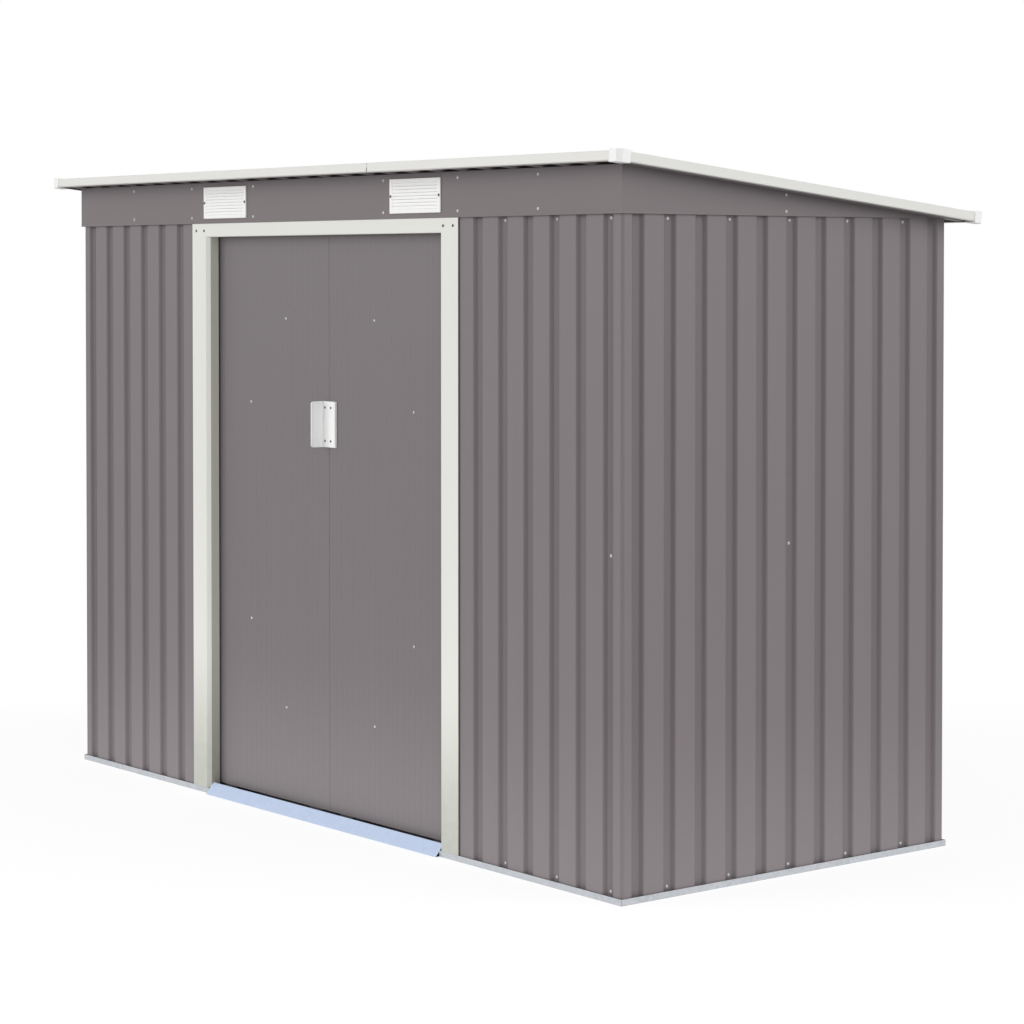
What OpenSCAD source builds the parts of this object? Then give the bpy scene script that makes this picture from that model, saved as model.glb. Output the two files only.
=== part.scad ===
// Metal storage shed with a pent roof and a pair of sliding doors.
// Millimetres. X runs to the right along the door side, +Y to the back, +Z up.
// Origin: middle of the footprint, on the ground.

/* [Body] */
// Width over the outer faces of the side walls
body_w = 2625; // [2000:5:3300]
// Depth over the outer faces of the front and back walls
body_d = 1155; // [900:5:1800]
// Height of the lower edge of the fascia above the ground
fascia_bottom_h = 1705; // [1400:5:2000]
// Thickness of the wall, roof, fascia and door sheets
sheet_t = 1; // [0.8:0.1:1.5]

/* [Grooves in the sheets] */
// Spacing that the grooves keep as nearly as the walls allow
groove_pitch = 105; // [90:1:130]
// Width of a groove at the face of the sheet
groove_w = 40; // [30:1:50]
// Width of the flat floor of a groove
groove_floor_w = 24; // [14:1:28]
// Depth of a groove
groove_depth = 10; // [6:0.5:12]
// Outer radius of the bent wall corners
corner_r = 10; // [6:1:14]
// Least flat between the last groove of a front wall and the door jamb
groove_margin = 10; // [0:1:20]

/* [Roof] */
// Height of the top of the back roof trim above the lower edge of the fascia
roof_back_rise = 15; // [12:1:30]
// How much lower the back edge of the roof lies than its front edge
roof_fall = 137; // [125:1:240]
// How far the roof stands out past the walls on every side
roof_overhang = 72; // [50:1:110]
// Height of the face of a roof trim
trim_h = 25; // [22:0.5:40]
// Width of the lips that a roof trim folds in above and below the sheets
trim_lip_w = 16; // [10:1:25]
// Distance from the roof's right end to the joint in the front trim
trim_joint_from_right = 1047; // [600:1:1400]
// Length of a corner cap along each trim
cap_len = 36; // [28:1:60]
// How far a corner cap stands proud of the trims
cap_proud = 1.5; // [1:0.5:3]
// How far a corner cap stands above and below the trims
cap_over = 3.5; // [2:0.5:6]
// Width of the slanted outer corner of a cap
cap_chamfer = 12; // [6:1:18]
// Thickness of the walls of a cap
cap_wall = 2; // [1.5:0.1:3]
// Height of the beam that runs under the middle of the roof
beam_h = 50; // [30:1:52]
// Width of that beam
beam_w = 30; // [20:1:50]
// Place of the beam, from the middle of the depth towards the back
beam_y = -26; // [-200:1:100]

/* [Fascia and vents] */
// How far the fascia stands out from the walls
fascia_proud = 6.5; // [5.5:0.5:10]
// Width of a vent
vent_w = 228; // [180:1:260]
// Height of a vent
vent_h = 93; // [60:1:94]
// Height of the middle of the vents above the lower edge of the fascia
vent_rise = 61; // [50:1:62]
// Distance from the middle of the front to the middle of a vent
vent_x = 471; // [300:1:600]
// Number of louvres in a vent
vent_louvres = 8; // [5:1:10]
// Width of the rim around the louvres
vent_rim_w = 11; // [6:1:16]
// How far the rim of a vent stands out from the fascia
vent_proud = 4; // [3:0.5:6]
// Distance from the ends of the front to the first strap behind the fascia
bracket_end = 320; // [200:1:400]
// Spacing of the straps behind the fascia
bracket_pitch = 334; // [200:1:360]
// Width of a strap
bracket_w = 30; // [20:1:50]
// How far the walls and the door frame reach up behind the fascia
wall_lap_h = 7; // [4:1:10]

/* [Doorway] */
// Clear width between the two door jambs
door_clear_w = 1143; // [900:1:1300]
// Height of the door header's face, with the part behind the fascia
header_face_h = 46.5; // [30:0.5:70]
// Width of a door jamb, with its slanted inner edge
jamb_w = 85; // [60:1:110]
// Width of the slanted inner edge of the door frame
frame_bevel = 11; // [6:1:16]
// How far the face of the door frame stands out from the walls
frame_proud = 5; // [3:0.5:5.3]
// How far the door frame reaches in past the outer face of the wall
frame_return = 33; // [20:1:45]
// Thickness of the folded frame, rail and track sections
section_t = 1.5; // [1:0.1:2]
// How far the walls reach in behind the door jambs
wall_behind_jamb = 12; // [8:1:30]
// How far the sill stands out from the walls
sill_out = 17; // [10:1:30]
// Height of the upper edge of the sill
sill_h = 33; // [20:1:40]

/* [Sliding doors] */
// Gap between the door frame and the doors behind it
door_clearance = 5; // [5:0.5:10]
// Gap between the two closed doors
door_gap = 2; // [1.5:0.5:6]
// Depth of a door's folded edges
door_depth = 18; // [14:1:24]
// How far a closed door reaches behind its jamb
door_lap = 26; // [15:1:40]
// Height of the lower edge of the doors
door_bottom_h = 30; // [28:1:50]
// How far a door reaches up behind the header
door_top_lap = 10.5; // [6:0.5:12]
// Length of a plastic runner
runner_len = 60; // [40:1:90]
// Distance from the ends of a door to its runners
runner_inset = 45; // [30:1:90]
// Working gap between a runner and the sides of its track
runner_gap = 1.3; // [1:0.1:1.6]
// Height of the upper track's shelf above the doors
track_rise = 14; // [10:1:16]
// Height of the lip that the door hooks ride on
track_lip_h = 12; // [10:1:14]
// How far that lip lies in front of the back of the doors
track_lip_in = 4; // [3:0.5:8]
// Distance from the ends of the front to the tracks
track_end_gap = 25; // [15:1:60]
// Height of the top of the lower guide rib
guide_top_h = 20; // [14:1:22]

/* [Handles] */
// Height of the handles
handle_h = 130; // [100:1:180]
// Height of the middle of the handles
handle_mid_h = 1130; // [900:1:1400]
// Thickness of the handle plates
handle_plate_t = 5; // [3:0.5:6]
// Width of the left handle's plate, from the middle of the doorway
left_plate_w = 22; // [18:1:40]
// Width of the right handle's plate, from the middle of the doorway
right_plate_w = 38; // [30:1:60]
// How far the left handle's grip stands out from the door
grip_out = 45; // [30:1:50]
// Thickness of the grip
grip_t = 5; // [4:0.5:8]
// Size of the slanted corners of the grip
grip_chamfer = 12; // [6:1:18]

/* [Rails] */
// Height of the outer lip of the base rails
base_lip_h = 17; // [12:1:22]
// Height of the upright of the base rails, behind the wall sheets
base_web_h = 38; // [30:1:60]
// Distance from the outer face of the walls to the inner edge of the base rails
base_in_w = 50; // [35:1:70]
// How far the outer lip of the base rails stands out from the walls
base_proud = 4.5; // [4:0.5:6]
// Height of the upright of the top rails
top_rail_h = 36; // [25:1:45]
// Width of the upper flange of the top rails
top_flange_w = 20; // [12:1:22]
// Radius of the anchor holes in the side base rails
anchor_r = 4; // [3:0.5:5]
// Distance from the ends of the side walls to the anchor holes
anchor_inset = 150; // [100:5:250]

/* [Hidden] */

// Finishes
wall_colour = "#857f7e";
ivory = "#e4e4dd";
white = "#f2f2f0";
zinc = "#b9c3cf";
dark = "#3b3b3b";

// Small gap that keeps seated pieces from cutting into each other
seat = 0.3;
half_w = body_w / 2;
half_d = body_d / 2;

// Grooves: an odd number on the sides and the back, so that one lies in the middle
function odd_count(len) = 2 * round((len / groove_pitch - 1) / 2) + 1;
pitch_x = body_w / odd_count(body_w);
pitch_y = body_d / odd_count(body_d);
side_half_count = (odd_count(body_d) - 1) / 2;
back_half_count = (odd_count(body_w) - 1) / 2;
frame_outer_x = door_clear_w / 2 + jamb_w;
front_section_w = half_w - frame_outer_x;
front_count = floor((front_section_w - groove_w / 2 - groove_margin) / pitch_x - 0.5) + 1;

// Distances measured inwards from the outer face of a wall
rail_face_u = groove_depth + sheet_t;
rail_back_u = rail_face_u + section_t;
door_face_u = frame_return + door_clearance;
door_back_u = door_face_u + door_depth;

// Roof: every distance "below" is measured square to the roof from the top of the trims
roof_w = body_w + 2 * roof_overhang;
roof_d = body_d + 2 * roof_overhang;
roof_angle = atan(roof_fall / roof_d);
roof_len = roof_d / cos(roof_angle);
roof_mid_h = fascia_bottom_h + roof_back_rise + roof_fall / 2;
valley_below = trim_h - section_t - seat;
pan_below = valley_below - sheet_t - groove_depth;
function roof_z(y, below) = roof_mid_h - tan(roof_angle) * y - below / cos(roof_angle);
function under_roof_z(y) = roof_z(y, valley_below) - seat;

// Walls and top rails
wall_top_h = fascia_bottom_h + wall_lap_h;
header_h = wall_top_h - header_face_h;
vent_mid_h = fascia_bottom_h + vent_rise;
top_rail_z = fascia_bottom_h - 1;
fascia_in_u = -fascia_proud + sheet_t;
bracket_xs = [for (i = [0:1:2]) half_w - bracket_end - i * bracket_pitch];

// Doors
door_w = door_clear_w / 2 + door_lap - door_gap / 2;
door_top_h = header_h + door_top_lap;
track_shelf_z = door_top_h + track_rise;
track_lip_u = door_back_u - track_lip_in;
track_half_len = half_w - track_end_gap;
guide_u = door_face_u + door_depth / 2;

// Turn of the door frame's section from its face to its slanted edge
bevel_turn = atan(2 * frame_proud / frame_bevel);

// Longer than any piece
beyond = 4000;

// ---------------------------------------------------------------- sheet outlines

// Outline points [along, in] of a groove's first and second half, centred at c
function groove_in(c) = [[c - groove_w / 2, 0], [c - groove_floor_w / 2, groove_depth]];
function groove_out(c) = [[c + groove_floor_w / 2, groove_depth], [c + groove_w / 2, 0]];
function groove(c) = concat(groove_in(c), groove_out(c));
function grooves(first, step, count) = [for (i = [0:1:count - 1]) each groove(first + i * step)];

// A closed outline: the face line, and the same line set in by the thickness
function sheet_outline(line, t = sheet_t) =
    concat(line, [for (i = [len(line) - 1:-1:0]) [line[i][0], line[i][1] + t]]);

// Face line that starts and ends in the middle of a groove
function seam_line(a, b, step, count) =
    concat(
        [[a, groove_depth]], groove_out(a), grooves(a + step, step, count), groove_in(b), [[b, groove_depth]]
    );

// ---------------------------------------------------------------- placing

// Distance u in from the outer face of the front wall becomes +Y
module on_front() { translate([0, -half_d, 0]) children(); }
module flip_x() { mirror([1, 0, 0]) children(); }
module flip_y() { mirror([0, 1, 0]) children(); }

// Everything below the underside of the roof
module below_roof() {
    difference() {
        children();
        translate([0, 0, roof_mid_h])
            rotate([-roof_angle, 0, 0])
                translate([-beyond, -beyond, -valley_below - seat])
                    cube([2 * beyond, 2 * beyond, beyond]);
    }
}

// Roof pieces are drawn flat, with the top of the trims at height 0, then tipped and centred
module on_roof() {
    translate([0, 0, roof_mid_h])
        rotate([-roof_angle, 0, 0])
            translate([0, tan(roof_angle) * trim_h / 2, 0])
                children();
}

// A section drawn as [in, up], run along X between two ends
module run_x(x0, x1, section) {
    translate([x0, 0, 0])
        rotate([90, 0, 90])
            linear_extrude(height = x1 - x0)
                polygon(section);
}

// Same, run along Y on the right-hand side, with "in" towards the middle
module run_right(section) {
    translate([half_w, 0, 0])
        mirror([1, 0, 0])
            rotate([90, 0, 0])
                translate([0, 0, -beyond / 2])
                    linear_extrude(height = beyond)
                        polygon(section);
}

// ---------------------------------------------------------------- rails

base_section = [
    [-base_proud, 0], [base_in_w, 0], [base_in_w, section_t], [rail_back_u, section_t],
    [rail_back_u, base_web_h], [rail_face_u, base_web_h], [rail_face_u, section_t],
    [section_t - base_proud, section_t], [section_t - base_proud, base_lip_h], [-base_proud, base_lip_h]
];

top_section = [
    [rail_face_u, top_rail_z - top_rail_h], [rail_back_u, top_rail_z - top_rail_h],
    [rail_back_u, top_rail_z - section_t], [rail_face_u + top_flange_w, top_rail_z - section_t],
    [rail_face_u + top_flange_w, top_rail_z], [rail_face_u, top_rail_z]
];

// Plan areas left to the rails on the front (or back) wall and on the right wall, split on the mitres
rail_reach = 200;

module front_mitre(out) {
    linear_extrude(height = beyond)
        polygon([
            [-half_w - out, -half_d - out], [half_w + out, -half_d - out],
            [half_w - rail_reach, -half_d + rail_reach], [-half_w + rail_reach, -half_d + rail_reach]
        ]);
}

module right_mitre(out) {
    linear_extrude(height = beyond)
        polygon([
            [half_w + out, -half_d - out], [half_w + out, half_d + out],
            [half_w - rail_reach, half_d - rail_reach], [half_w - rail_reach, -half_d + rail_reach]
        ]);
}

module front_rail(section, out) {
    intersection() {
        on_front() run_x(-half_w - out, half_w + out, section);
        front_mitre(out);
    }
}

module side_rail(section, out) {
    intersection() {
        run_right(section);
        right_mitre(out);
    }
}

// The upright is notched where the return of the jamb comes down past it
module base_rail_front_right() {
    color(zinc)
        difference() {
            intersection() {
                front_rail(base_section, base_proud);
                translate([door_clear_w / 2, -beyond / 2, 0]) cube([beyond, beyond, base_web_h]);
            }
            translate([0, -half_d, base_lip_h])
                cube([door_clear_w / 2 + section_t + seat, base_in_w, base_web_h]);
        }
}

module base_rail_front_left() { flip_x() base_rail_front_right(); }
module base_rail_back() { color(zinc) flip_y() front_rail(base_section, base_proud); }

module base_rail_right() {
    color(zinc)
        difference() {
            side_rail(base_section, base_proud);
            for (end = [-1, 1])
                translate([half_w - (rail_back_u + base_in_w) / 2, end * (half_d - anchor_inset), -1])
                    cylinder(h = section_t + 2, r = anchor_r, $fn = 32);
        }
}

module base_rail_left() { flip_x() base_rail_right(); }

module top_rail_front() { color(zinc) front_rail(top_section, 0); }
module top_rail_back() { color(zinc) flip_y() front_rail(top_section, 0); }
module top_rail_right() { color(zinc) side_rail(top_section, 0); }
module top_rail_left() { flip_x() top_rail_right(); }

// ---------------------------------------------------------------- walls

// Front wall beside the doorway: from the seam in the first groove to behind the jamb
module front_wall_right() {
    first = pitch_x / 2;
    line = concat(
        [[first, groove_depth]], groove_out(first),
        grooves(first + pitch_x, pitch_x, front_count - 1),
        [[front_section_w + wall_behind_jamb, 0]]
    );
    color(wall_colour)
        translate([half_w, -half_d, section_t])
            mirror([1, 0, 0])
                linear_extrude(height = wall_top_h - section_t)
                    polygon(sheet_outline(line));
}

module front_wall_left() { flip_x() front_wall_right(); }

// Corner sheet, bent round the right end of the front wall and half of the side wall.
// Its outline is drawn from the corner of the walls.
module corner_sheet() {
    seam = pitch_x / 2;
    centre = [-corner_r, corner_r];
    front_leg = [[seam, groove_depth], [seam - groove_floor_w / 2, groove_depth], [seam - groove_w / 2, 0]];
    side_leg = concat(
        grooves(pitch_y / 2, pitch_y, side_half_count),
        groove_in(half_d), [[half_d, groove_depth]]
    );
    bend_step = 15;
    bend = [for (a = [-90:bend_step:0]) [cos(a), sin(a)]];
    outer = concat(
        [for (p = front_leg) [-p[0], p[1]]],
        [for (v = bend) centre + corner_r * v],
        [for (p = side_leg) [-p[1], p[0]]]
    );
    inner = concat(
        [for (p = front_leg) [-p[0], p[1] + sheet_t]],
        [for (v = bend) centre + (corner_r - sheet_t) * v],
        [for (p = side_leg) [-p[1] - sheet_t, p[0]]]
    );
    translate([half_w, -half_d, section_t])
        linear_extrude(height = wall_top_h - section_t)
            polygon(concat(outer, [for (i = [len(inner) - 1:-1:0]) inner[i]]));
}

module corner_front_right() { color(wall_colour) below_roof() corner_sheet(); }
module corner_front_left() { color(wall_colour) below_roof() flip_x() corner_sheet(); }
module corner_back_right() { color(wall_colour) below_roof() flip_y() corner_sheet(); }
module corner_back_left() { color(wall_colour) below_roof() flip_x() flip_y() corner_sheet(); }

// Back wall, from the seam by the corner to the seam in the middle
module back_wall_right() {
    line = seam_line(pitch_x / 2, half_w, pitch_x, back_half_count - 1);
    color(wall_colour)
        below_roof()
            translate([half_w, half_d, section_t])
                rotate([0, 0, 180])
                    linear_extrude(height = wall_top_h - section_t)
                        polygon(sheet_outline(line));
}

module back_wall_left() { flip_x() back_wall_right(); }

// ---------------------------------------------------------------- doorway

// Section of the door frame as [outwards from the opening, in]: the same thickness all round
function frame_section(w) = [
    [w, -frame_proud], [frame_bevel, -frame_proud], [0, frame_proud], [0, frame_return],
    [section_t, frame_return], [section_t, frame_proud + section_t * tan(45 - bevel_turn / 2)],
    [frame_bevel + section_t * tan(bevel_turn / 2), section_t - frame_proud],
    [w - section_t, section_t - frame_proud], [w - section_t, 0], [w, 0]
];

// Mitre between a jamb and the header, seen from the front: the jamb's side of the diagonal
module jamb_side() {
    x0 = door_clear_w / 2;
    rotate([90, 0, 0])
        linear_extrude(height = beyond, center = true)
            polygon([
                [x0 - jamb_w, 0], [x0 + beyond, 0], [x0 + beyond, header_h + beyond],
                [x0 - jamb_w, header_h - jamb_w]
            ]);
}

module door_jamb_right() {
    color(ivory)
        intersection() {
            translate([door_clear_w / 2, -half_d, base_lip_h + seat])
                linear_extrude(height = wall_top_h - base_lip_h - seat)
                    polygon(frame_section(jamb_w));
            jamb_side();
        }
}

module door_jamb_left() { flip_x() door_jamb_right(); }

module door_header() {
    color(ivory)
        difference() {
            on_front()
                translate([-frame_outer_x, 0, header_h])
                    rotate([90, 0, 90])
                        linear_extrude(height = 2 * frame_outer_x)
                            polygon([for (p = frame_section(header_face_h)) [p[1], p[0]]]);
            jamb_side();
            flip_x() jamb_side();
        }
}

// Sloped sill: a folded plate with a back leg in line with the rails' uprights, open at its ends
module door_sill() {
    t = section_t;
    slope = atan(sill_h / (sill_out + rail_face_u));
    color(zinc)
        on_front()
            run_x(-door_clear_w / 2 + seat, door_clear_w / 2 - seat, [
                [-sill_out, 0], [t / sin(slope) - sill_out, 0],
                [rail_face_u, sill_h - t / cos(slope)], [rail_face_u, 0],
                [rail_back_u, 0], [rail_back_u, sill_h], [rail_face_u, sill_h]
            ]);
}

// ---------------------------------------------------------------- door tracks

// Upper track: a shelf with an upstanding lip that the door runners hook over
module door_track_top() {
    fold_h = 5;
    z = track_shelf_z;
    u0 = rail_back_u;
    lip = track_lip_u;
    t = section_t;
    color(zinc)
        on_front()
            run_x(-track_half_len, track_half_len, [
                [u0, z - fold_h], [u0 + t, z - fold_h], [u0 + t, z - t], [lip + t, z - t],
                [lip + t, z + track_lip_h], [lip, z + track_lip_h], [lip, z], [u0, z]
            ]);
}

// Lower track: a foot on the base rails and a guide rib that the lower runners straddle
module door_track_bottom() {
    foot_over = 4;
    t = section_t;
    foot_back_u = door_back_u + foot_over;
    color(zinc)
        on_front()
            run_x(-track_half_len, track_half_len, [
                [frame_return, t], [foot_back_u, t], [foot_back_u, 2 * t], [guide_u + t / 2, 2 * t],
                [guide_u + t / 2, guide_top_h], [guide_u - t / 2, guide_top_h], [guide_u - t / 2, 2 * t],
                [frame_return, 2 * t]
            ]);
}

// ---------------------------------------------------------------- fascia

module vent_hole(x) {
    margin = vent_rim_w + 1;
    translate([x - vent_w / 2 + margin, -beyond / 2, vent_mid_h - vent_h / 2 + margin])
        cube([vent_w - 2 * margin, beyond / 2, vent_h - 2 * margin]);
}

module front_fascia() {
    top = under_roof_z(-half_d - fascia_proud + sheet_t);
    color(wall_colour)
        difference() {
            translate([-half_w - fascia_proud, -half_d - fascia_proud, fascia_bottom_h])
                cube([body_w + 2 * fascia_proud, sheet_t, top - fascia_bottom_h]);
            vent_hole(vent_x);
            vent_hole(-vent_x);
        }
}

// Side fascia: tapers from the front corner to nothing at the back
module gable_fascia_right() {
    front_y = -half_d - fascia_proud + sheet_t;
    min_h = 2;
    flat_y = (roof_mid_h - valley_below / cos(roof_angle) - seat - fascia_bottom_h - min_h) / tan(roof_angle);
    back_y = min(half_d, flat_y);
    color(wall_colour)
        translate([half_w - fascia_in_u, 0, 0])
            rotate([90, 0, 90])
                linear_extrude(height = sheet_t)
                    polygon([
                        [front_y, fascia_bottom_h], [back_y, fascia_bottom_h],
                        [back_y, under_roof_z(back_y)], [front_y, under_roof_z(front_y)]
                    ]);
}

module gable_fascia_left() { flip_x() gable_fascia_right(); }

// Six stepped straps that carry the fascia on the front top rail
module fascia_brackets() {
    head_gap = 12;
    t = section_t;
    foot_u = rail_back_u;
    step_z = wall_top_h + seat;
    top_z = under_roof_z(-half_d) - head_gap;
    color(zinc)
        for (side = [-1, 1], x = bracket_xs)
            on_front()
                run_x(side * x - bracket_w / 2, side * x + bracket_w / 2, [
                    [foot_u, top_rail_z], [foot_u + t, top_rail_z], [foot_u + t, step_z + t],
                    [fascia_in_u + t, step_z + t], [fascia_in_u + t, top_z], [fascia_in_u, top_z],
                    [fascia_in_u, step_z], [foot_u, step_z]
                ]);
}

// Channel across the middle of the roof, held at both gable fascias
module roof_beam() {
    top = under_roof_z(beam_y + beam_w / 2);
    t = section_t;
    color(zinc)
        run_x(-half_w + fascia_in_u, half_w - fascia_in_u, [
            [beam_y - beam_w / 2, top - beam_h], [beam_y + beam_w / 2, top - beam_h],
            [beam_y + beam_w / 2, top - beam_h + t], [beam_y - beam_w / 2 + t, top - beam_h + t],
            [beam_y - beam_w / 2 + t, top - t], [beam_y + beam_w / 2, top - t],
            [beam_y + beam_w / 2, top], [beam_y - beam_w / 2, top]
        ]);
}

// Louvred vent: a raised frame and louvres that slope down and out, drawn around its own middle
module vent() {
    louvre_t = 1.5;
    set_back = 0.5;
    bite = 1;
    rim = vent_rim_w;
    step = (vent_h - 2 * rim) / vent_louvres;
    color(white) {
        difference() {
            translate([-vent_w / 2, -vent_proud, -vent_h / 2]) cube([vent_w, vent_proud, vent_h]);
            translate([-vent_w / 2 + rim, -2 * vent_proud, -vent_h / 2 + rim])
                cube([vent_w - 2 * rim, 3 * vent_proud, vent_h - 2 * rim]);
        }
        for (i = [0:1:vent_louvres - 1])
            translate([0, -vent_proud, -vent_h / 2 + rim + i * step])
                run_x(-vent_w / 2 + rim - bite, vent_w / 2 - rim + bite, [
                    [set_back, 0], [set_back + louvre_t, 0], [vent_proud, step - louvre_t],
                    [vent_proud, step], [vent_proud - louvre_t, step]
                ]);
    }
}

module vent_right() { translate([vent_x, -half_d - fascia_proud, vent_mid_h]) vent(); }
module vent_left() { translate([-vent_x, -half_d - fascia_proud, vent_mid_h]) vent(); }

// ---------------------------------------------------------------- roof

// Roof sheets: grooves run down the slope, in line with the walls' corners
sheet_end = section_t + seat;

module roof_sheet(line) {
    color(wall_colour)
        on_roof()
            translate([0, roof_len / 2 - sheet_end, -pan_below])
                rotate([90, 0, 0])
                    linear_extrude(height = roof_len - 2 * sheet_end)
                        polygon([for (p = sheet_outline(line)) [p[0], -p[1]]]);
}

roof_third = floor(back_half_count / 3) + 0.5;
roof_edge_x = roof_w / 2 - sheet_end;

module roof_sheet_middle() {
    roof_sheet(seam_line(-roof_third * pitch_x, roof_third * pitch_x, pitch_x, 2 * roof_third - 1));
}

// The outer sheets are cut back at the corners, inside the slanted corners of the caps
module roof_sheet_right() {
    first = roof_third * pitch_x;
    rest = back_half_count + 0.5 - roof_third;
    cut = roof_w / 2 + roof_len / 2 + 2 * (cap_proud - cap_wall - seat) - cap_chamfer;
    intersection() {
        roof_sheet(concat(
            [[first, groove_depth]], groove_out(first),
            grooves(first + pitch_x, pitch_x, rest), [[roof_edge_x, 0]]
        ));
        on_roof()
            linear_extrude(height = beyond, center = true)
                polygon([[0, -cut], [cut, 0], [0, cut]]);
    }
}

module roof_sheet_left() { flip_x() roof_sheet_right(); }

// Section of a trim as [in from its face, up from the top of the trims]
trim_section = [
    [0, 0], [trim_lip_w, 0], [trim_lip_w, -section_t], [section_t, -section_t],
    [section_t, section_t - trim_h], [trim_lip_w, section_t - trim_h], [trim_lip_w, -trim_h], [0, -trim_h]
];
trim_end_x = roof_w / 2 - cap_len;
trim_end_y = roof_len / 2 - cap_len;
trim_joint_x = roof_w / 2 - trim_joint_from_right;

module front_trim(x0, x1) {
    color(ivory)
        on_roof()
            translate([0, -roof_len / 2, 0])
                run_x(x0, x1, trim_section);
}

module roof_trim_front_right() { front_trim(trim_joint_x, trim_end_x); }
module roof_trim_front_left() { front_trim(-trim_end_x, trim_joint_x); }

module roof_trim_back() {
    color(ivory)
        on_roof()
            translate([0, roof_len / 2, 0])
                mirror([0, 1, 0])
                    run_x(-trim_end_x, trim_end_x, trim_section);
}

module roof_trim_right() {
    color(ivory)
        on_roof()
            translate([roof_w / 2, -trim_end_y, 0])
                rotate([0, 0, 90])
                    run_x(0, 2 * trim_end_y, trim_section);
}

module roof_trim_left() {
    color(ivory)
        on_roof()
            translate([-roof_w / 2, trim_end_y, 0])
                rotate([0, 0, -90])
                    run_x(0, 2 * trim_end_y, trim_section);
}

// Hollow plastic cap that closes the corner between two trims
module corner_cap() {
    wall = cap_wall;
    out_x = roof_w / 2 + cap_proud;
    out_y = roof_len / 2 + cap_proud;
    in_x = roof_w / 2 - cap_len;
    in_y = roof_len / 2 - cap_len;
    c = cap_chamfer;
    translate([0, 0, -trim_h - cap_over])
        difference() {
            linear_extrude(height = trim_h + 2 * cap_over)
                polygon([[in_x, in_y], [out_x, in_y], [out_x, out_y - c], [out_x - c, out_y], [in_x, out_y]]);
            translate([0, 0, cap_over - seat])
                linear_extrude(height = trim_h + 2 * seat)
                    polygon([
                        [in_x - 1, in_y - 1], [out_x - wall, in_y - 1], [out_x - wall, out_y - wall - c],
                        [out_x - wall - c, out_y - wall], [in_x - 1, out_y - wall]
                    ]);
        }
}

module roof_corner_caps() {
    color(white)
        on_roof()
            for (side = [0, 1], end = [0, 1])
                mirror([side, 0, 0])
                    mirror([0, end, 0])
                        corner_cap();
}

// ---------------------------------------------------------------- doors

// Door leaf right of the middle: a sheet with folded edges and a channel across its top
module door_panel() {
    channel_h = 36;
    t = sheet_t;
    h = door_top_h - door_bottom_h;
    color(wall_colour)
        on_front()
            translate([door_gap / 2, door_face_u, door_bottom_h]) {
                cube([door_w, t, h]);
                cube([t, door_depth, h]);
                translate([door_w - t, 0, 0]) cube([t, door_depth, h]);
                cube([door_w, door_depth, t]);
                translate([0, 0, h - t]) cube([door_w, door_depth, t]);
                translate([0, door_depth - t, h - channel_h]) cube([door_w, t, channel_h]);
            }
}

// Runners of the right door: two hooks over the upper track's lip and two shoes on the guide rib
module door_runners() {
    stem_t = 6;
    stem_drop = 30;
    hook_t = 6;
    finger_t = 5;
    finger_h = 9;
    shoe_w = 12;
    shoe_h = 22;
    lip_top = track_shelf_z + track_lip_h;
    hook_z = lip_top + seat;
    finger_u = track_lip_u - runner_gap;
    slot_u = section_t / 2 + runner_gap;
    slot_top = guide_top_h + runner_gap;
    shoe_z = door_bottom_h - shoe_h;
    color(dark)
        for (x = [door_gap / 2 + runner_inset, door_gap / 2 + door_w - runner_inset - runner_len])
            on_front() {
                run_x(x, x + runner_len, [
                    [door_back_u, door_top_h - stem_drop], [door_back_u + stem_t, door_top_h - stem_drop],
                    [door_back_u + stem_t, hook_z + hook_t], [finger_u - finger_t, hook_z + hook_t],
                    [finger_u - finger_t, lip_top - finger_h], [finger_u, lip_top - finger_h],
                    [finger_u, hook_z], [door_back_u, hook_z]
                ]);
                run_x(x, x + runner_len, [
                    [guide_u - shoe_w / 2, shoe_z], [guide_u - slot_u, shoe_z],
                    [guide_u - slot_u, slot_top], [guide_u + slot_u, slot_top],
                    [guide_u + slot_u, shoe_z], [guide_u + shoe_w / 2, shoe_z],
                    [guide_u + shoe_w / 2, door_bottom_h], [guide_u - shoe_w / 2, door_bottom_h]
                ]);
            }
}

module left_door_panel() { flip_x() door_panel(); }
module right_door_panel() { door_panel(); }
module left_door_runners() { flip_x() door_runners(); }
module right_door_runners() { door_runners(); }

// Handle plates lie on the doors and all but meet over the gap between them
module handle_plate(w) {
    on_front()
        translate([seat, door_face_u - handle_plate_t, handle_mid_h - handle_h / 2])
            cube([w - seat, handle_plate_t, handle_h]);
}

module right_handle() {
    rim_w = 4;
    rim_t = handle_plate_t + 3;
    color(white) {
        handle_plate(right_plate_w);
        on_front()
            translate([right_plate_w - rim_w, door_face_u - rim_t, handle_mid_h - handle_h / 2])
                cube([rim_w, rim_t, handle_h]);
    }
}

module left_handle() {
    z0 = handle_mid_h - handle_h / 2;
    z1 = handle_mid_h + handle_h / 2;
    tip = door_face_u - grip_out;
    c = grip_chamfer;
    color(white) {
        flip_x() handle_plate(left_plate_w + grip_t);
        on_front()
            translate([-left_plate_w - grip_t, 0, 0])
                run_x(0, grip_t, [
                    [door_face_u, z0], [door_face_u, z1], [tip + c, z1],
                    [tip, z1 - c], [tip, z0 + c], [tip + c, z0]
                ]);
    }
}

// ---------------------------------------------------------------- nodes

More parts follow.
